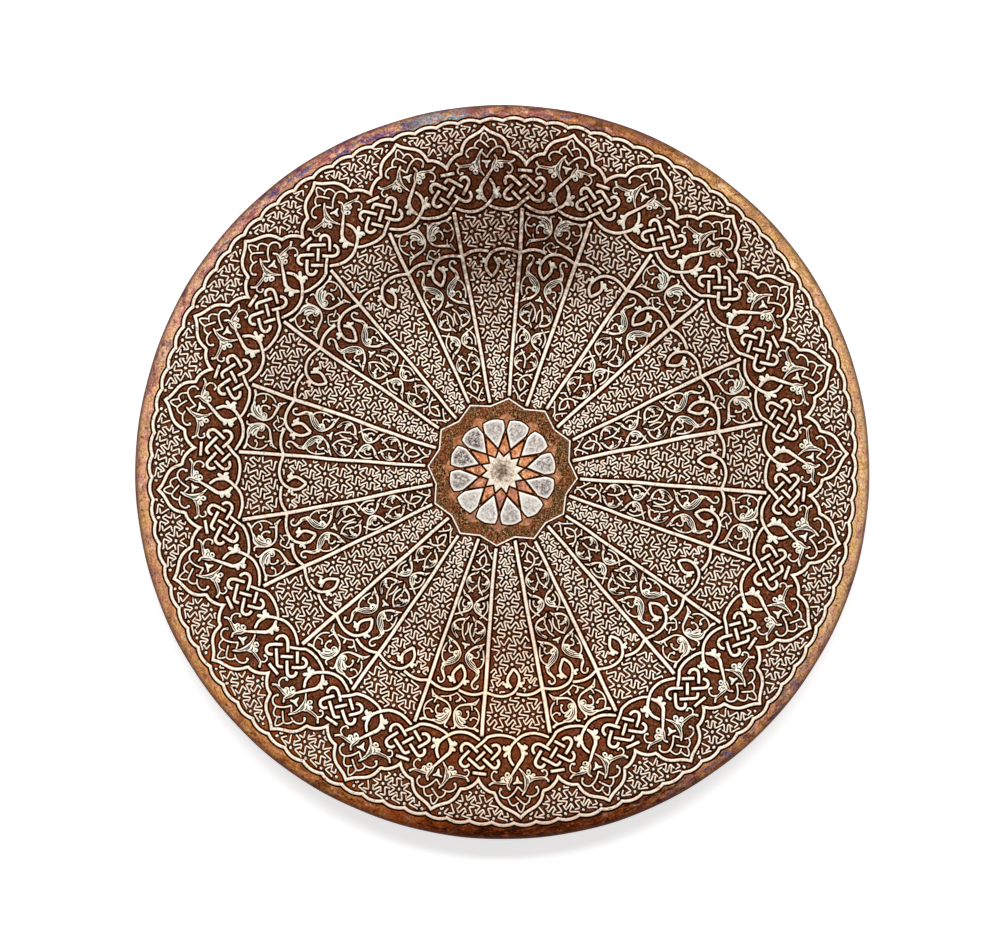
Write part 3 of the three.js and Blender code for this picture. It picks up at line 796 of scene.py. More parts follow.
def draw_arabesque(field):
    """All the scrolls of one panel, from the wall's top down to the star."""
    for mirror in field.both_sides():
        mirror.draw(*TOP_SCROLL, *S_SCROLL, *FOURTH_SCROLL)
    if round(field.angle) in BRACKET_PANELS:
        field.draw(*BRACKET)
    else:
        for strap in HEART_STRAPS:
            field.strip(rounded_path(strap, HEART_ROUNDING), HEART_WIDTH)
        field.draw(*HEART_ENDS)
    field.draw(*SMALL_CROSS)
    for scroll, stems in ((THIRD_SCROLL, THIRD_SCROLL_STEMS), (FIFTH_SCROLL, FIFTH_SCROLL_STEMS)):
        for mirror in field.both_sides():
            mirror.draw(*scroll)
        field.draw(*stems)
    field.draw(*SMALL_DROP)
    draw_inner_arcs(field)


STAR_TIP, STAR_NOTCH, STAR_WIDTH, STAR_STEP = 74, 66.7, 1.8, 3.5
RIB_WIDTH, RIB_END, RIB_STARTS, RIB_ROUNDING, RIB_STEP = 3.9, 264.6, (77, 70.4), 20, 2.4
# Rows of the fret of a panel, as fret takes them
UPPER_ROWS = (
    (271.5, 18.6, 0.04, 3), (257.5, 18.4, 0.5, 3), (243.5, 18.4, 0.03, 3), (229, 18.2, 0.5, 3),
    (215, 18, 0, 3),
)
LOWER_ROWS = (
    (229.5, 16.6, 0.5, 3), (216.5, 16.4, 0.04, 3), (205, 16.2, 0.56, 3), (192, 16.2, 0.03, 2),
    (177.5, 16.2, 0.5, 2), (161.3, 16, 0.05, 2), (146.3, 15.4, 0.5, 2), (132, 14, 0.05, 2),
    (118.2, 14.4, 0.5, 2), (106, 14, 0.05, 2), (94.8, 13.4, 0.5, 2), (83.8, 13, 0.05, 1),
    (72.6, 12.6, 0.5, 1), (61, 12, 0, 1),
)
# Curves that bound the fret: height on the middle line, how far it falls or rises from there, and over
# what width. Its lower end lies on the star's outline, which is given by two of its points
ARC_CURVE = 222.5, -5.2, 28
SAG_CURVE, SAG_HALF_WIDTH = (262.2, 5.2, 17), 1.55
STAR_EDGE, STAR_HALF_WIDTH = ((-8.7, 9.7), (66.1, 73.4)), 1
# Middles of the leaves beside the drop, and how far the fret keeps from them
LEAF_MIDDLES, LEAF_REACH = np.array(((8.8, 212.6), (-8.8, 212.6), (7, 213.5), (-7, 213.5))), 3


def draw_fret_panel(field):
    """Fret of a whole panel, over and under its inner arcs."""
    left_arc, right_arc, drop_side = [smooth_path(arc) for arc in INNER_ARCS]
    arcs = np.concatenate((left_arc, right_arc, drop_side))
    drop = np.concatenate((right_arc[-40:], drop_side))

    def curve(x, height, change, width):
        return height + change * (x / width) ** 2

    def is_free(points, half_width):
        room = FRET_GAP + half_width
        half_panel = points[:, 1] * math.tan(math.radians(PANEL_ANGLE / 2))
        between_ribs = np.abs(points[:, 0]) < half_panel - (RIB_WIDTH / 2 + room)
        off_arcs = clear_of(points, arcs, INNER_ARC_WIDTH / 2 + room)
        return off_arcs & clear_of(points, LEAF_MIDDLES, LEAF_REACH + half_width) & between_ribs

    def upper_free(points, half_width):
        x, y = points.T
        high = curve(np.abs(x) - SAG_CURVE[2], *SAG_CURVE) - (SAG_HALF_WIDTH + FRET_GAP + half_width)
        return is_free(points, half_width) & (y < high) & (y > curve(x, *ARC_CURVE))

    def lower_free(points, half_width):
        x, y = points.T
        low = np.interp(x, *STAR_EDGE) + STAR_HALF_WIDTH + FRET_GAP + half_width
        below_arcs = y <= curve(x, *ARC_CURVE)
        return is_free(points, half_width) & below_arcs & (y > low) & ~inside_loop(points, drop)

    fret(field, UPPER_ROWS, upper_free)
    fret(field, LOWER_ROWS, lower_free)


# Materials. Colours are as the display shows them, red, green and blue of 255

def paint(*tone):
    """Display colour as the linear one that a node takes."""
    shares = np.array(tone) / 255
    return (*np.where(shares <= 0.04045, shares / 12.92, ((shares + 0.055) / 1.055) ** 2.4), 1)


def fill(node, values):
    """Set a node's inputs, or link them to what other nodes give. Three numbers are a display colour."""
    for name, value in values.items():
        socket = node.inputs[name]
        if isinstance(value, bpy.types.NodeSocket):
            node.id_data.links.new(value, socket)
        else:
            is_tone = socket.type == "RGBA" and len(value) == 3
            socket.default_value = paint(*value) if is_tone else value


def add_node(tree, kind, values, **settings):
    node = tree.nodes.new("ShaderNode" + kind)
    for name, value in settings.items():
        setattr(node, name, value)
    fill(node, values)
    return node


class Finish:
    """A material, and short calls for the nodes that it is made of."""

    def __init__(self, name, metallic, gloss):
        self.material = bpy.data.materials.new(name)
        self.material.use_nodes = True
        self.tree = self.material.node_tree
        self.surface = self.tree.nodes["Principled BSDF"]
        fill(self.surface, {"Metallic": metallic, "Specular IOR Level": gloss})
        self.place = add_node(self.tree, "TexCoord", {}).outputs["Object"]

    def noise(self, scale, detail=4, roughness=0.55, distortion=0.0, place=None, seed=0.0):
        values = {"Vector": place or self.place, "Scale": scale, "Detail": detail, "Roughness": roughness}
        values |= {"W": seed, "Distortion": distortion}
        return add_node(self.tree, "TexNoise", values, noise_dimensions="4D").outputs["Fac"]

    def cells(self, scale, smooth=0.4):
        values = {"Vector": self.place, "Scale": scale, "Smoothness": smooth}
        return add_node(self.tree, "TexVoronoi", values, feature="SMOOTH_F1").outputs["Distance"]

    def ramp(self, value, *stops):
        """The value turned into a grey or a colour, which runs from stop to stop."""
        node = add_node(self.tree, "ValToRGB", {"Fac": value})
        bar = node.color_ramp.elements
        while len(bar) < len(stops):
            bar.new(1)
        for element, (position, level) in zip(bar, stops):
            element.position = position
            element.color = paint(*level) if isinstance(level, tuple) else (level, level, level, 1)
        return node.outputs["Color"]

    def mix(self, share, first, second, kind="MIX"):
        values = {0: share, 6: first, 7: second}
        return add_node(self.tree, "Mix", values, data_type="RGBA", blend_type=kind).outputs[2]

    def maths(self, kind, *values):
        return add_node(self.tree, "Math", dict(enumerate(values)), operation=kind).outputs[0]

    def times(self, *values):
        return self.maths("MULTIPLY", *values)

    def vector(self, kind, *values, **named):
        return add_node(self.tree, "VectorMath", dict(enumerate(values)) | named, operation=kind).outputs

    def radius(self):
        """Distance from the tray's axis, in metres."""
        x, y, _ = add_node(self.tree, "SeparateXYZ", {"Vector": self.place}).outputs
        return self.maths("SQRT", self.maths("ADD", self.times(x, x), self.times(y, y)))

    def near(self, place, reach, *stops):
        """Ramp of nearness, which is 1 at a place on the tray and falls to 0 at a distance from it."""
        gap = self.vector("DISTANCE", self.place, place)["Value"]
        return self.ramp(self.maths("SUBTRACT", 1, self.maths("DIVIDE", gap, reach)), *stops)

    def on_wall(self, place, most):
        """Up to a share at one of the places on the wall, and 0 elsewhere."""
        return self.near(*place, (0, 0), (0.6, most))

    def on_rim(self, place, most):
        """Up to a share on one of the places on the rim."""
        sides, start, end = place
        rim = self.ramp(self.maths("DIVIDE", self.radius(), RADIUS), (start, 0), (end, most))
        return self.times(self.ramp(self.round_the_rim(), *sides), rim)

    def round_the_rim(self):
        """From 0 at the left, over front, right and back, to 1 at the left again."""
        node = add_node(self.tree, "TexGradient", {"Vector": self.place}, gradient_type="RADIAL")
        return node.outputs["Fac"]

    def streaked_place(self, along, across):
        """Coordinates that are stretched round the tray's axis, so that noise on them runs in streaks."""
        unit = self.vector("NORMALIZE", self.vector("MULTIPLY", self.place, (1, 1, 0))[0])[0]
        height = add_node(self.tree, "CombineXYZ", {"Z": self.times(self.radius(), across)}).outputs[0]
        return self.vector("ADD", self.vector("SCALE", unit, Scale=along)[0], height)[0]

    def coat(self, share, tone, kind="MIX"):
        """Tone laid over the colour so far, by a share."""
        self.colour = self.mix(share, self.colour, tone, kind)

    def patches(self, tone, scale, detail, roughness, seed, start, full, most, share=None):
        """Patches over the colour so far, where a noise is over its levels for the start of a patch and for
        all of it. There they are as strong as most says, less by a share that may be given."""
        spots = self.ramp(self.noise(scale, detail, roughness, seed=seed), (start, 0), (full, most))
        self.coat(self.times(spots, share) if share else spots, tone)

    def pits(self, tone, scale, seed):
        """Small sharp spots."""
        self.patches(tone, scale, 2, 0.6, seed, 0.6, 0.66, 0.8)

    def finish(self, grain, smooth, rough, depth, strength=0.5, bumps=None):
        """The material, with its colour, and a roughness and bumps that follow a grain."""
        roughness = self.ramp(grain, (0.3, smooth), (0.7, rough))
        values = {"Height": bumps or grain, "Distance": depth * MM, "Strength": strength}
        normal = add_node(self.tree, "Bump", values).outputs["Normal"]
        fill(self.surface, {"Base Color": self.colour, "Roughness": roughness, "Normal": normal})
        return self.material


# Places on the wall, each with its reach: behind the middle, darkened as painted shade (broken by scuffs on
# the silver), and in front of it, browned, with the silver also darkened as painted shade
SHADED_BACK_WALL = ((0, 0.136, 0.02), 0.075)
FRONT_WALL_SHADE_AND_TINT = ((0, -0.13, 0.02), 0.08)
# Places on the rim: how strongly each shows round the rim, and the shares of the radius that it starts and is
# full at. The back is dark, the front's outer edge is darker and greyer as painted shade, and the front's
# left half is golden
BACK_RIM = (((0.57, 0), (0.625, 0.8), (0.7, 0.6), (0.75, 0.2), (0.8, 0.3), (0.86, 0.5), (0.93, 0)), 0.8, 0.83)
SHADED_FRONT_RIM = (((0.16, 0), (0.23, 1), (0.27, 1), (0.34, 0)), 0.925, 0.955)
GOLDEN_RIM = (((0.03, 0), (0.09, 1), (0.16, 1), (0.2, 0.4), (0.24, 0)), 0.85, 0.93)


def make_silver():
    look = Finish("inlaid_silver", 0.2, 0.2)
    tones = (0.34, (228, 196, 172)), (0.43, (255, 243, 221)), (0.56, (255, 249, 233))
    look.colour = look.ramp(look.noise(420, 4, 0.65), *tones)
    look.patches((244, 206, 184), 150, 3, 0.5, 3.1, 0.54, 0.7, 0.4)
    look.patches((180, 160, 142), 480, 4, 0.65, 7.7, 0.58, 0.68, 0.5)
    look.pits((122, 96, 78), 760, 11.3)
    # Back wall darker: painted shade, laid on through scuff-like spots
    scuffs_and_shade = look.ramp(look.noise(500, 4, 0.7, seed=13.9), (0.42, 0.95), (0.5, 0.5), (0.58, 0.15))
    look.coat(look.times(look.on_wall(SHADED_BACK_WALL, 1), scuffs_and_shade), (112, 92, 80))
    # Front wall darker and warmer: painted shade, with a warmer tone
    look.coat(look.on_wall(FRONT_WALL_SHADE_AND_TINT, 0.45), (232, 190, 146))
    look.coat(look.on_rim(BACK_RIM, 0.35), (176, 142, 118))
    # Front rim's outer edge greyer and darker: painted shade
    look.coat(look.on_rim(SHADED_FRONT_RIM, 0.5), (186, 156, 140))
    return look.finish(look.noise(2600, 3, 0.6), 0.38, 0.56, 0.05)


def make_ground():
    look = Finish("patinated_ground", 0.12, 0.0)
    grain = look.noise(760, 4, 0.75)
    tones = (0.38, (32, 8, 1)), (0.47, (86, 44, 22)), (0.55, (130, 78, 50)), (0.64, (172, 116, 84))
    look.colour = look.ramp(grain, *tones)
    look.patches((150, 56, 25), 330, 4, 0.6, 2.3, 0.48, 0.64, 0.6)
    look.patches((76, 44, 22), 60, 3, 0.5, 5.9, 0.45, 0.65, 0.35)
    punches = look.cells(900)
    look.coat(look.ramp(punches, (0.05, 0.6), (0.4, 0)), (24, 8, 2))
    look.patches((92, 66, 34), 290, 4, 0.6, 8.8, 0.5, 0.64, 0.5)
    look.patches((96, 50, 48), 260, 4, 0.6, 10.6, 0.52, 0.64, 0.5)
    # Back wall darkened: painted shade
    look.coat(look.on_wall(SHADED_BACK_WALL, 0.45), (40, 12, 3))
    # Front wall more orange-brown: a warmer tone only
    look.coat(look.on_wall(FRONT_WALL_SHADE_AND_TINT, 0.25), (130, 54, 18))
    look.coat(look.on_rim(BACK_RIM, 0.45), (32, 12, 4))
    look.coat(look.on_rim(GOLDEN_RIM, 0.4), (196, 92, 30))
    return look.finish(grain, 0.55, 0.75, 0.18, 0.6, punches)


def make_worn_edge():
    """Sides of the strips, where copper is smeared up over the silver."""
    look = Finish("worn_edge", 0.2, 0.05)
    smear = look.noise(520, 4, 0.65, seed=4.4)
    tones = (0.38, (98, 34, 10)), (0.47, (168, 72, 34)), (0.56, (206, 108, 62)), (0.64, (242, 178, 132))
    look.colour = look.ramp(smear, *tones)
    look.coat(look.on_rim(GOLDEN_RIM, 0.5), (240, 150, 76))
    return look.finish(smear, 0.6, 0.45, 0.05)


def make_dark_line(name, dark, middle, light):
    look = Finish(name, 0.0, 0.0)
    grain = look.noise(900, 4, 0.6)
    look.colour = look.ramp(grain, (0.38, dark), (0.54, middle), (0.68, light))
    return look.finish(grain, 0.7, 0.9, 0.05)


# Colours round the lip: (place round it, as round_the_rim gives it, colour)
# The dark front is partly painted shade, where the lip turns down away from the key lamp
LIP_COLOURS_AND_SHADE = (
    (0, (226, 164, 124)), (0.125, (202, 130, 68)), (0.19, (140, 64, 18)), (0.25, (62, 14, 0)),
    (0.31, (116, 46, 10)), (0.375, (196, 130, 84)), (0.43, (222, 170, 124)), (0.5, (236, 188, 138)),
    (0.62, (192, 142, 92)), (0.69, (148, 92, 50)), (0.75, (166, 108, 80)), (0.88, (196, 146, 124)),
    (0.95, (226, 172, 138)), (1, (226, 164, 124)),
)
# Patches on the lip: streaks along and across it, seed, how rare they are, their colour, and how strong
# they are from place to place round it
LIP_PATCHES_AND_PAINTED_LIGHT = (
    (26, 300, 0.0, 0.5, (226, 180, 106),
     ((0, 0.8), (0.16, 0.3), (0.22, 0), (0.3, 0.1), (0.44, 0.9), (0.64, 0.9), (0.68, 0.1), (0.75, 0.2),
      (1, 0.8))),
    (30, 260, 4.2, 0.53, (226, 152, 134),
     ((0, 0.9), (0.12, 0.4), (0.22, 0), (0.3, 0), (0.4, 0.6), (0.6, 0.6), (0.67, 0.1), (0.8, 0.6), (1, 0.9))),
    (24, 220, 6.4, 0.56, (248, 208, 176),
     # Pale pink streaks: bright copper, partly painted highlights
     ((0, 0.8), (0.14, 0.3), (0.25, 0), (0.4, 0.5), (0.56, 0.9), (0.72, 0.4), (1, 0.8))),
    (18, 240, 8.1, 0.52, (138, 76, 82),
     ((0, 0.5), (0.14, 0.2), (0.2, 0), (0.29, 0), (0.4, 0.4), (0.58, 0.2), (0.68, 0.1), (0.73, 0.8),
      (0.9, 0.9), (1, 0.5))),
    (20, 260, 2.6, 0.53, (76, 74, 120),
     ((0, 0.25), (0.1, 0), (0.3, 0), (0.36, 0.95), (0.42, 0.3), (0.68, 0.1), (0.73, 0.9), (0.9, 0.8),
      (1, 0.25))),
    # Dark patches, strongest in front, where they are partly painted shade
    (30, 300, 9.4, 0.53, (50, 16, 4),
     ((0, 0.15), (0.12, 0.35), (0.2, 0.9), (0.32, 0.9), (0.4, 0.4), (0.5, 0), (0.66, 0.3), (0.71, 0.7),
      (0.8, 0.2))),
    (16, 260, 5.5, 0.48, (116, 158, 168), ((0.755, 0), (0.775, 0.9), (0.795, 0))),
    (40, 620, 7.3, 0.52, (168, 88, 38), ((0.16, 0), (0.2, 0.55), (0.3, 0.55), (0.35, 0))),
    # Near-black patches in front: partly painted shade
    (22, 520, 11.7, 0.53, (20, 3, 2), ((0.2, 0), (0.24, 0.8), (0.33, 0.9), (0.37, 0.2))),
)


def make_rim_copper():
    """Bare copper of the lip, coloured by heat and age: golden to the sides, violet behind, and dark in
    front, partly by painted shade.
    """
    look = Finish("rim_copper", 0.2, 0.03)
    around = look.round_the_rim()
    look.colour = look.ramp(around, *LIP_COLOURS_AND_SHADE)
    for along, across, seed, rarity, tone, sides in LIP_PATCHES_AND_PAINTED_LIGHT:
        streaks = look.noise(1, 6, 0.7, place=look.streaked_place(along, across), seed=seed)
        share = look.times(look.ramp(around, *sides), look.ramp(streaks, (rarity, 0), (rarity + 0.05, 1)))
        look.coat(share, tone)
    look.pits((84, 36, 16), 560, 21.3)
    grain = look.noise(860, 3, 0.75)
    look.coat(0.75, look.ramp(grain, (0.38, 0.18), (0.5, 0.5), (0.62, 0.82)), "OVERLAY")
    look.coat(look.ramp(look.times(look.radius(), 5), (0.986, 0), (0.996, 0.85)), (84, 38, 32))
    return look.finish(grain, 0.6, 0.45, 0.1)


def make_underside():
    look = Finish("hammered_underside", 0.55, 0.12)
    stain = look.noise(26, 6, 0.6, 0.4)
    look.colour = look.ramp(stain, (0.32, (74, 44, 30)), (0.48, (126, 78, 50)), (0.62, (166, 110, 76)))
    look.patches((70, 46, 36), 300, 5, 0.7, 0, 0.5, 0.7, 0.6)
    return look.finish(stain, 0.62, 0.4, 0.9, 0.35, look.cells(85, 0.8))


def make_bronze():
    look = Finish("bronze_band", 0.15, 0.05)
    streaks = look.noise(900, 4, 0.8, 0.3)
    tones = (0.44, (8, 2, 1)), (0.49, (72, 40, 19)), (0.53, (108, 70, 40)), (0.59, (208, 154, 108))
    look.colour = look.ramp(streaks, *tones)
    look.patches((138, 66, 26), 110, 4, 0.55, 1.7, 0.45, 0.62, 0.4)
    look.patches((84, 72, 40), 190, 4, 0.6, 5.1, 0.48, 0.62, 0.5)
    look.pits((172, 92, 56), 620, 3.7)
    return look.finish(streaks, 0.6, 0.42, 0.06)


# Place between the middle and the front that is violet and less golden, and its reach
FRONT_TINT = ((-4 * MM, -21 * MM, SHEET), 40 * MM)


def make_orange_copper(name, worn):
    """Bright copper of the middle, dulled by a share. It is violet in front and golden behind."""
    look = Finish(name, 0.2, 0.1)
    tones = (0.4, (120, 62, 36)), (0.47, (202, 130, 88)), (0.55, (228, 160, 116)), (0.62, (254, 218, 184))
    look.colour = look.ramp(look.noise(560, 4, 0.72), *tones)
    violet = look.ramp(look.noise(130, 3, 0.55, seed=6.3), (0.46, 0), (0.58, 0.8 - worn))
    golden = look.ramp(look.noise(105, 3, 0.5, seed=2.9), (0.42, 0.1), (0.58, 0.8 - 1.4 * worn))
    look.coat(look.times(violet, look.near(*FRONT_TINT, (0.1, 0.1), (0.5, 1))), (164, 108, 102))
    look.coat(look.times(golden, look.near(*FRONT_TINT, (0.1, 1), (0.5, 0.15))), (232, 138, 66))
    look.coat(worn, (118, 78, 46))
    look.patches((92, 46, 22), 340, 4, 0.7, 12.2, 0.5, 0.6, 1.2 * worn)
    look.pits((96, 48, 34), 640, 9.9)
    return look.finish(look.noise(2100, 3, 0.6), 0.4, 0.56, 0.04)


def make_petal_silver():
    """Silver plates whose middles have gone grey. Their meshes say how far each point has."""
    look = Finish("petal_silver", 0.2, 0.2)
    age = add_node(look.tree, "Attribute", {}, attribute_name="tarnish").outputs["Fac"]
    aged = look.times(age, look.ramp(look.times(look.radius(), 20), (0.29, 0.3), (0.39, 1)))
    cloud = look.ramp(look.noise(380, 6, 0.78, 0.3), (0.4, 0.4), (0.53, 1))
    look.colour = look.mix(look.times(aged, cloud), (255, 248, 238), (78, 64, 60))
    look.patches((246, 232, 220), 700, 4, 0.75, 1.3, 0.5, 0.58, 0.7, aged)
    look.patches((58, 44, 42), 720, 3, 0.7, 8.1, 0.53, 0.59, 0.95, aged)
    return look.finish(look.noise(2200, 3, 0.6), 0.38, 0.54, 0.04)


# Worn spot of the middle star, and how far its grey reaches
WORN_SPOT, WORN_REACH = (-0.5 * UNIT, 1.2 * UNIT, SHEET), 22 * UNIT


def make_centre_silver():
    """Silver of the middle star, with a dark worn spot and rays round it."""
    look = Finish("centre_silver", 0.2, 0.2)
    gap = look.vector("DISTANCE", look.place, WORN_SPOT)["Value"]
    grey = look.maths("SUBTRACT", 1, look.maths("DIVIDE", gap, WORN_REACH))
    rays = look.noise(1, 4, 0.6, place=look.streaked_place(16, 40))
    for marks, strength in ((rays, 0.6), (look.noise(520, 5, 0.8), 2.6)):
        grey = look.maths("ADD", grey, look.times(look.maths("SUBTRACT", marks, 0.5), strength))
    look.colour = look.ramp(
        grey, (0.08, (254, 244, 230)), (0.32, (238, 222, 202)), (0.56, (196, 176, 156)),
        (0.78, (140, 118, 100)), (1.0, (72, 54, 46)),
    )
    return look.finish(look.noise(2200, 3, 0.6), 0.38, 0.54, 0.04)


silver = make_silver()
worn_edge = make_worn_edge()
dark_line = make_dark_line("dark_chasing", (12, 3, 0), (32, 11, 2), (76, 32, 12))
strip_side = make_dark_line("strip_side", (50, 20, 8), (96, 50, 28), (140, 84, 56))


# The sheet itself. Its looks are the patinated face, the bare lip and the underside

FACE, BARE, UNDERSIDE = 0, 1, 2
BARE_FROM = (BORDER_LOW + 1.5) * UNIT
WELL_RINGS = (0.001, 0.02, 0.04, 0.06, 0.08, 0.094)
RIM_RINGS = (WALL_TOP + 6 * MM, BARE_FROM, BARE_FROM + 1.2 * MM)
RING_UNDER_RIM = WALL_TOP + 8 * MM
# Rings where the lip is turned down: how far in from its edge, and how far below it
EDGE_RINGS = ((0.35 * MM, 0.55 * MM), (1.2 * MM, 0.75 * MM))


def sheet_profile():
    """Upper face from the middle out to the lip's edge, then the underside back in, each with its look."""
    wall = np.linspace(WELL_RADIUS, WALL_TOP, WALL_RINGS)
    lip = RIM_EDGE + LIP_WIDTH * np.sin(np.linspace(0, math.pi / 2, LIP_RINGS))
    radii = np.concatenate((WELL_RINGS, wall, RIM_RINGS, lip))
    upper = np.stack((radii, surface_height(radii)), axis=1)
    looks = [BARE if radius > BARE_FROM - 1e-6 else FACE for radius in radii]
    below = np.concatenate((WELL_RINGS, wall, [RING_UNDER_RIM], lip))
    face = np.stack((below, surface_height(below)), axis=1)
    slope = np.gradient(face, axis=0)
    slope /= np.hypot(slope[:, 0], slope[:, 1])[:, None]
    slope[-1] = (0, -1)
    under = face + np.stack((slope[:, 1], -slope[:, 0]), axis=1) * SHEET
    under[:, 1] = np.maximum(under[:, 1], 0)
    under[0, 0] = WELL_RINGS[0]
    edge = [(RADIUS - inwards, upper[-1, 1] - down) for inwards, down in EDGE_RINGS]
    return np.concatenate((upper, edge, under[::-1])), looks + [BARE] * len(edge) + [UNDERSIDE] * len(under)


def lip_dents(radius, turns):
    """The lip's edge isn't quite round: it is drawn in a little, here and there."""
    share = np.clip((radius - RIM_EDGE) / LIP_WIDTH, 0, 1)
    dent = 0.5 + 0.2 * np.sin(7 * turns + 1) + 0.18 * np.sin(13 * turns + 2) + 0.12 * np.sin(31 * turns)
    return radius - share * dent * LIP_DENT


def build_sheet():
    profile, looks = sheet_profile()
    turns, ring = circle(ROUND_SEGMENTS)
    points = [
        np.column_stack((ring * lip_dents(radius, turns)[:, None], np.full(ROUND_SEGMENTS, height)))
        for radius, height in profile
    ]
    faces = [(a, d, c, b) for a, b, c, d in wall_faces(len(profile), ROUND_SEGMENTS)]
    looks = np.repeat(looks[:-1], ROUND_SEGMENTS).tolist() + [FACE, UNDERSIDE]
    faces += [face[::-1] for face in end_faces(len(profile), ROUND_SEGMENTS)]
    pile = Pile()
    pile.add(np.concatenate(points), faces, looks)
    materials = make_ground(), make_rim_copper(), make_underside()
    pile.build("tray_sheet", "copper", *materials, replaced=["tray_body"])


# Pieces of inlay

def label(i):
    return f"{i + 1:02d}"


def inlay(name, draw, *angles, replaced=()):
    """Silver of one part of the pattern, drawn along one or more directions, with its dark lines."""
    strips, lines = Pile(), Pile()
    for angle in angles:
        draw(Field(angle, strips, lines))
    strips.build(name, "silver", silver, worn_edge, strip_side, replaced=replaced)
    if lines.points:
        lines.build(name + "_lines", "copper", dark_line)


def draw_rib(field):
    """One straight rib. Odd ones start at a point of the star, even ones at a notch of it."""
    start = RIB_STARTS[round((field.angle - FIRST_RIB) / PANEL_ANGLE) % 2]
    width = RIB_WIDTH * random.uniform(0.93, 1.05)
    middle = (random.uniform(-0.5, 0.5), (start + RIB_END) / 2)
    path = rounded_path([(0.2, start), middle, (0, RIB_END)], RIB_ROUNDING, RIB_STEP)
    field.strip(path, width, BOLD, round_ends=False, taper=(0.9, 1, 1.05))


def ring_points(*places):
    """Points given by radius, and by angle clockwise from the back."""
    return [turned([(0, radius)], -angle)[0] for radius, angle in places]


def star(outer, inner):
    """Outline of a star whose points, or notches, lie on the ribs."""
    return ring_points(*[((outer, inner)[i % 2], FIRST_RIB + i * PANEL_ANGLE) for i in range(PANELS)])


def draw_star_outline(field):
    field.strip(stepped(star(STAR_TIP, STAR_NOTCH), STAR_STEP, True), STAR_WIDTH, THIN, closed=True)


def plate_piece(name, slot, material, outlines, heights, bevel=0.3):
    """Flat plates cut to outlines in drawn units, each at its height, in one piece."""
    pile = Pile()
    for outline, height in zip(outlines, heights):
        add_plate(pile, to_plan(outline, 0, drifting=False), height, SINK, bevel * UNIT)
    pile.build(name, slot, material, smooth=False)


def grown(outline, margin):
    """Outline moved outwards by a margin, with sharp corners kept."""
    outline = leftward(np.asarray(outline, dtype=float))
    return outline + sideways(outline, True, 0.2) * margin


# Medallion: where the dark lines between its plates meet, and how wide they are, in drawn units
LINE_INNER, LINE_CROSSING, LINE_TIP = 16.1, 23.1, 39.4
LINE_WIDTH = 1.5
POINT_TIP, POINT_SIDE, POINT_SPREAD, POINT_VALLEY = 60.3, 55, 8.2, 50
CENTRE_TIP, CENTRE_NOTCH = 20.9, 14.7
PETAL_SIDE = ((0, 25.2), (9.8, 41.2), (10.2, 46.4), (9.8, 50.8), (4.8, 52.7), (0, 53.4))
PETAL_TARNISH = (0.7, 0.62, 0.78, 0.9, 0.5, 0.72, 0.52, 0.55, 0.85, 1, 1, 0.66)
BAND_HEIGHT, POINTS_HEIGHT, HUB_HEIGHT, LINES_HEIGHT = 0.05 * MM, 0.1 * MM, 0.13 * MM, 0.15 * MM
KITES_HEIGHT, PLATE_HEIGHT = 0.21 * MM, 0.28 * MM
# Levels of a crowned plate: share of the way in to its middle, share of its height, and of its tarnish
CROWN = (
    (0, -SINK / PLATE_HEIGHT, 0), (0, 0.6, 0), (0.035, 1, 0), (0.1, 1, 0.1), (0.2, 1.05, 0.6),
    (0.35, 1.1, 0.95), (0.6, 1.13, 1), (0.85, 1.15, 1),
)


def petal_outline(angle):
    left = [(-x, y) for x, y in PETAL_SIDE[-2:0:-1]]
    return turned(np.array(PETAL_SIDE + tuple(left)) + random.uniform(-0.25, 0.25, (10, 2)), -angle)


def crowned_plate(name, replaced, outline, material, corner, tarnish):
    """Silver plate with a slight crown, whose mesh notes the tarnish that each point has."""
    outline = rounded_path(leftward(outline), corner, 1.5, True)
    count = len(outline)
    middle = outline.mean(axis=0)
    rings, tarnishes = [], []
    for share, height, grey in CROWN:
        ring = to_plan(outline + (middle - outline) * share, 0, drifting=False)
        rings.append(lift(ring, np.full(count, height * PLATE_HEIGHT)))
        tarnishes += [grey * tarnish] * count
    faces = wall_faces(len(rings), count) + end_faces(len(rings), count)[::-1]
    pile = Pile()
    pile.add(np.concatenate(rings), faces, [TOP] * len(faces))
    piece = pile.build(name, "silver", material, replaced=[replaced])
    piece.data.attributes.new("tarnish", "FLOAT", "POINT").data.foreach_set("value", tarnishes)


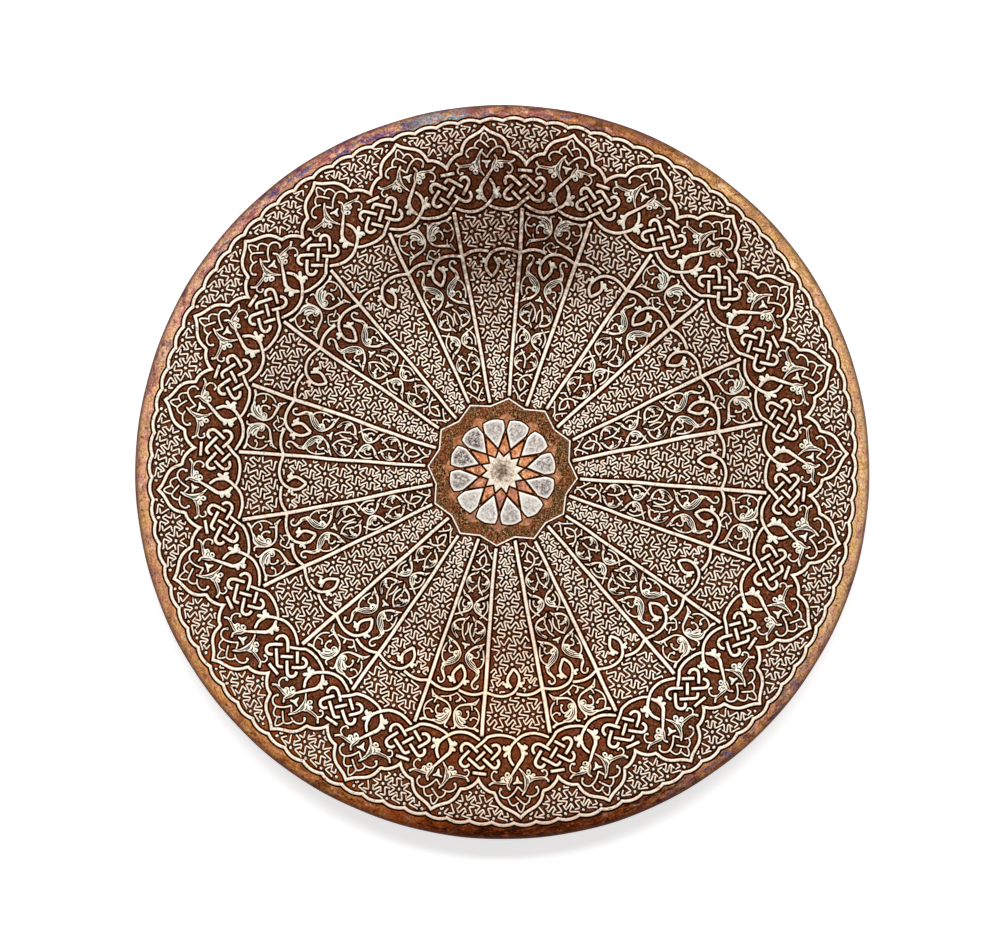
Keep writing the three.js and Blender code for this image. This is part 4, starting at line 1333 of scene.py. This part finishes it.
def build_medallion():
    inlay("star_outline_strip", draw_star_outline, 0, replaced=["star_outline"])
    band = grown(star(STAR_TIP, STAR_NOTCH), -0.5)
    plate_piece("medallion_band", "copper", make_bronze(), [band], [BAND_HEIGHT])
    points, kites, petals = [], [], []
    for i in range(STAR_POINTS):
        tip = FIRST_RIB + i * STAR_ANGLE
        before, after = tip - PANEL_ANGLE, tip + PANEL_ANGLE
        points += ring_points(
            (POINT_SIDE, tip - POINT_SPREAD), (POINT_TIP, tip), (POINT_SIDE, tip + POINT_SPREAD),
            (POINT_VALLEY, after),
        )
        kite = (LINE_INNER, tip), (LINE_CROSSING, after), (LINE_TIP, tip), (LINE_CROSSING, before)
        kites.append(grown(ring_points(*kite), -LINE_WIDTH / 2))
        petals.append(petal_outline(after))
    worn_copper = make_orange_copper("worn_copper", 0.4)
    bright_copper = make_orange_copper("bright_copper", 0)
    brown_line = make_dark_line("brown_chasing", (20, 6, 0), (58, 24, 6), (132, 66, 26))
    beds = [star(LINE_TIP, LINE_TIP)] + [grown(petal, LINE_WIDTH) for petal in petals]
    bed_heights = [HUB_HEIGHT] + [LINES_HEIGHT] * STAR_POINTS
    plate_piece("medallion_points", "copper", worn_copper, [points], [POINTS_HEIGHT])
    plate_piece("medallion_lines", "copper", brown_line, beds, bed_heights, bevel=0)
    plate_piece("medallion_kites", "copper", bright_copper, kites, [KITES_HEIGHT] * STAR_POINTS)
    petal_silver = make_petal_silver()
    for i, (petal, tarnish) in enumerate(zip(petals, PETAL_TARNISH)):
        crowned_plate("petal_plate_" + label(i), "petal_" + label(i), petal, petal_silver, 0.5, tarnish)
    centre = np.array(star(CENTRE_NOTCH, CENTRE_TIP))
    crowned_plate("center_star_plate", "center_star", centre, make_centre_silver(), 0.2, 1)


def build_pattern():
    ribs = [FIRST_RIB + i * PANEL_ANGLE for i in range(PANELS)]
    lobes = [angle + PANEL_ANGLE / 2 for angle in ribs]
    inlay("border_strip", draw_border, 0, replaced=["scalloped_border"])
    inlay("arcade_strip", draw_arcade, lobes[0], replaced=["arcade"])
    inlay("outer_arc_straps", draw_outer_arcs, *lobes, replaced=["outer_arcs"])
    for i, angle in enumerate(ribs):
        inlay("rib_strip_" + label(i), draw_rib, angle, replaced=["rib_" + label(i)])
    for i, angle in enumerate(ribs):
        inlay("lobe_leaves_" + label(i), draw_lobe, lobes[i])
        inlay("knot_" + label(i), draw_knot, angle)
        inlay("spandrel_fret_" + label(i), draw_spandrel, angle)
    for i in range(STAR_POINTS):
        inlay("scroll_panel_" + label(i), draw_arabesque, lobes[2 * i])
        inlay("fret_panel_" + label(i), draw_fret_panel, lobes[2 * i + 1])
        inlay("inner_arcs_" + label(i), draw_inner_arcs, lobes[2 * i + 1])


# Camera, light and floor

AMBIENT = 0.15
FLOOR_GLOW = 0.64
FLOOR_REACH, FLOOR_DROP = 6, 0.2 * MM
WHITE, PALE_GREY = (1, 1, 1, 1), (0.82, 0.82, 0.82, 1)
# Lamps: name, place, width, depth and power
LAMPS = (("key", (0, 1.2, 2.1), 3, 0.8, 57), ("fill", (0.2, -1.2, 2.2), 1.4, 1.4, 3))


def place_camera():
    data = bpy.data.cameras.new("camera")
    data.lens = LENS
    data.sensor_width = SENSOR
    data.clip_end = 20
    data.shift_x = (IMAGE_SIZE[0] / 2 - TRAY_CENTRE_PIXEL[0]) / IMAGE_SIZE[0]
    data.shift_y = (TRAY_CENTRE_PIXEL[1] - IMAGE_SIZE[1] / 2) / IMAGE_SIZE[0]
    camera = put("camera", data)
    camera.location = (0, 0, RIM_HEIGHT + CAMERA_DISTANCE)
    bpy.context.scene.camera = camera


def white_for_sight(tree):
    """1 for rays from the camera, and for those that metal or glass sends on."""
    path = add_node(tree, "LightPath", {}).outputs
    total = path["Is Camera Ray"]
    for name in ("Is Glossy Ray", "Is Transmission Ray"):
        total = add_node(tree, "Math", {0: total, 1: path[name]}, operation="MAXIMUM").outputs[0]
    return total


def light_world():
    world = bpy.data.worlds.new("studio")
    world.use_nodes = True
    tree = world.node_tree
    level = add_node(tree, "MapRange", {"Value": white_for_sight(tree), "To Min": AMBIENT, "To Max": 1})
    fill(tree.nodes["Background"], {"Color": WHITE, "Strength": level.outputs["Result"]})
    bpy.context.scene.world = world


def hang_lamps():
    for name, place, width, depth, power in LAMPS:
        data = bpy.data.lights.new(name, "AREA")
        data.shape = "ELLIPSE"
        data.size = width
        data.size_y = depth
        data.energy = power
        lamp = put(name, data)
        lamp.location = place
        lamp.rotation_euler = (-Vector(place)).to_track_quat("-Z", "Y").to_euler()


def lay_floor():
    """Pale floor. It glows a little to the camera, so that it shows white where no shadow lies."""
    mesh = bpy.data.meshes.new("floor")
    corners = [(x * FLOOR_REACH, y * FLOOR_REACH, 0) for x, y in ((-1, -1), (1, -1), (1, 1), (-1, 1))]
    mesh.from_pydata(corners, [], [(0, 1, 2, 3)])
    look = Finish("floor", 0, 0)
    glow = look.times(white_for_sight(look.tree), FLOOR_GLOW)
    values = {"Base Color": PALE_GREY, "Roughness": 0.9, "Emission Color": WHITE, "Emission Strength": glow}
    fill(look.surface, values)
    mesh.materials.append(look.material)
    floor = put("floor", mesh)
    floor.location.z = -FLOOR_DROP


bpy.context.scene.view_settings.view_transform = "Standard"
place_camera()
light_world()
hang_lamps()
lay_floor()
build_sheet()
build_medallion()
build_pattern()
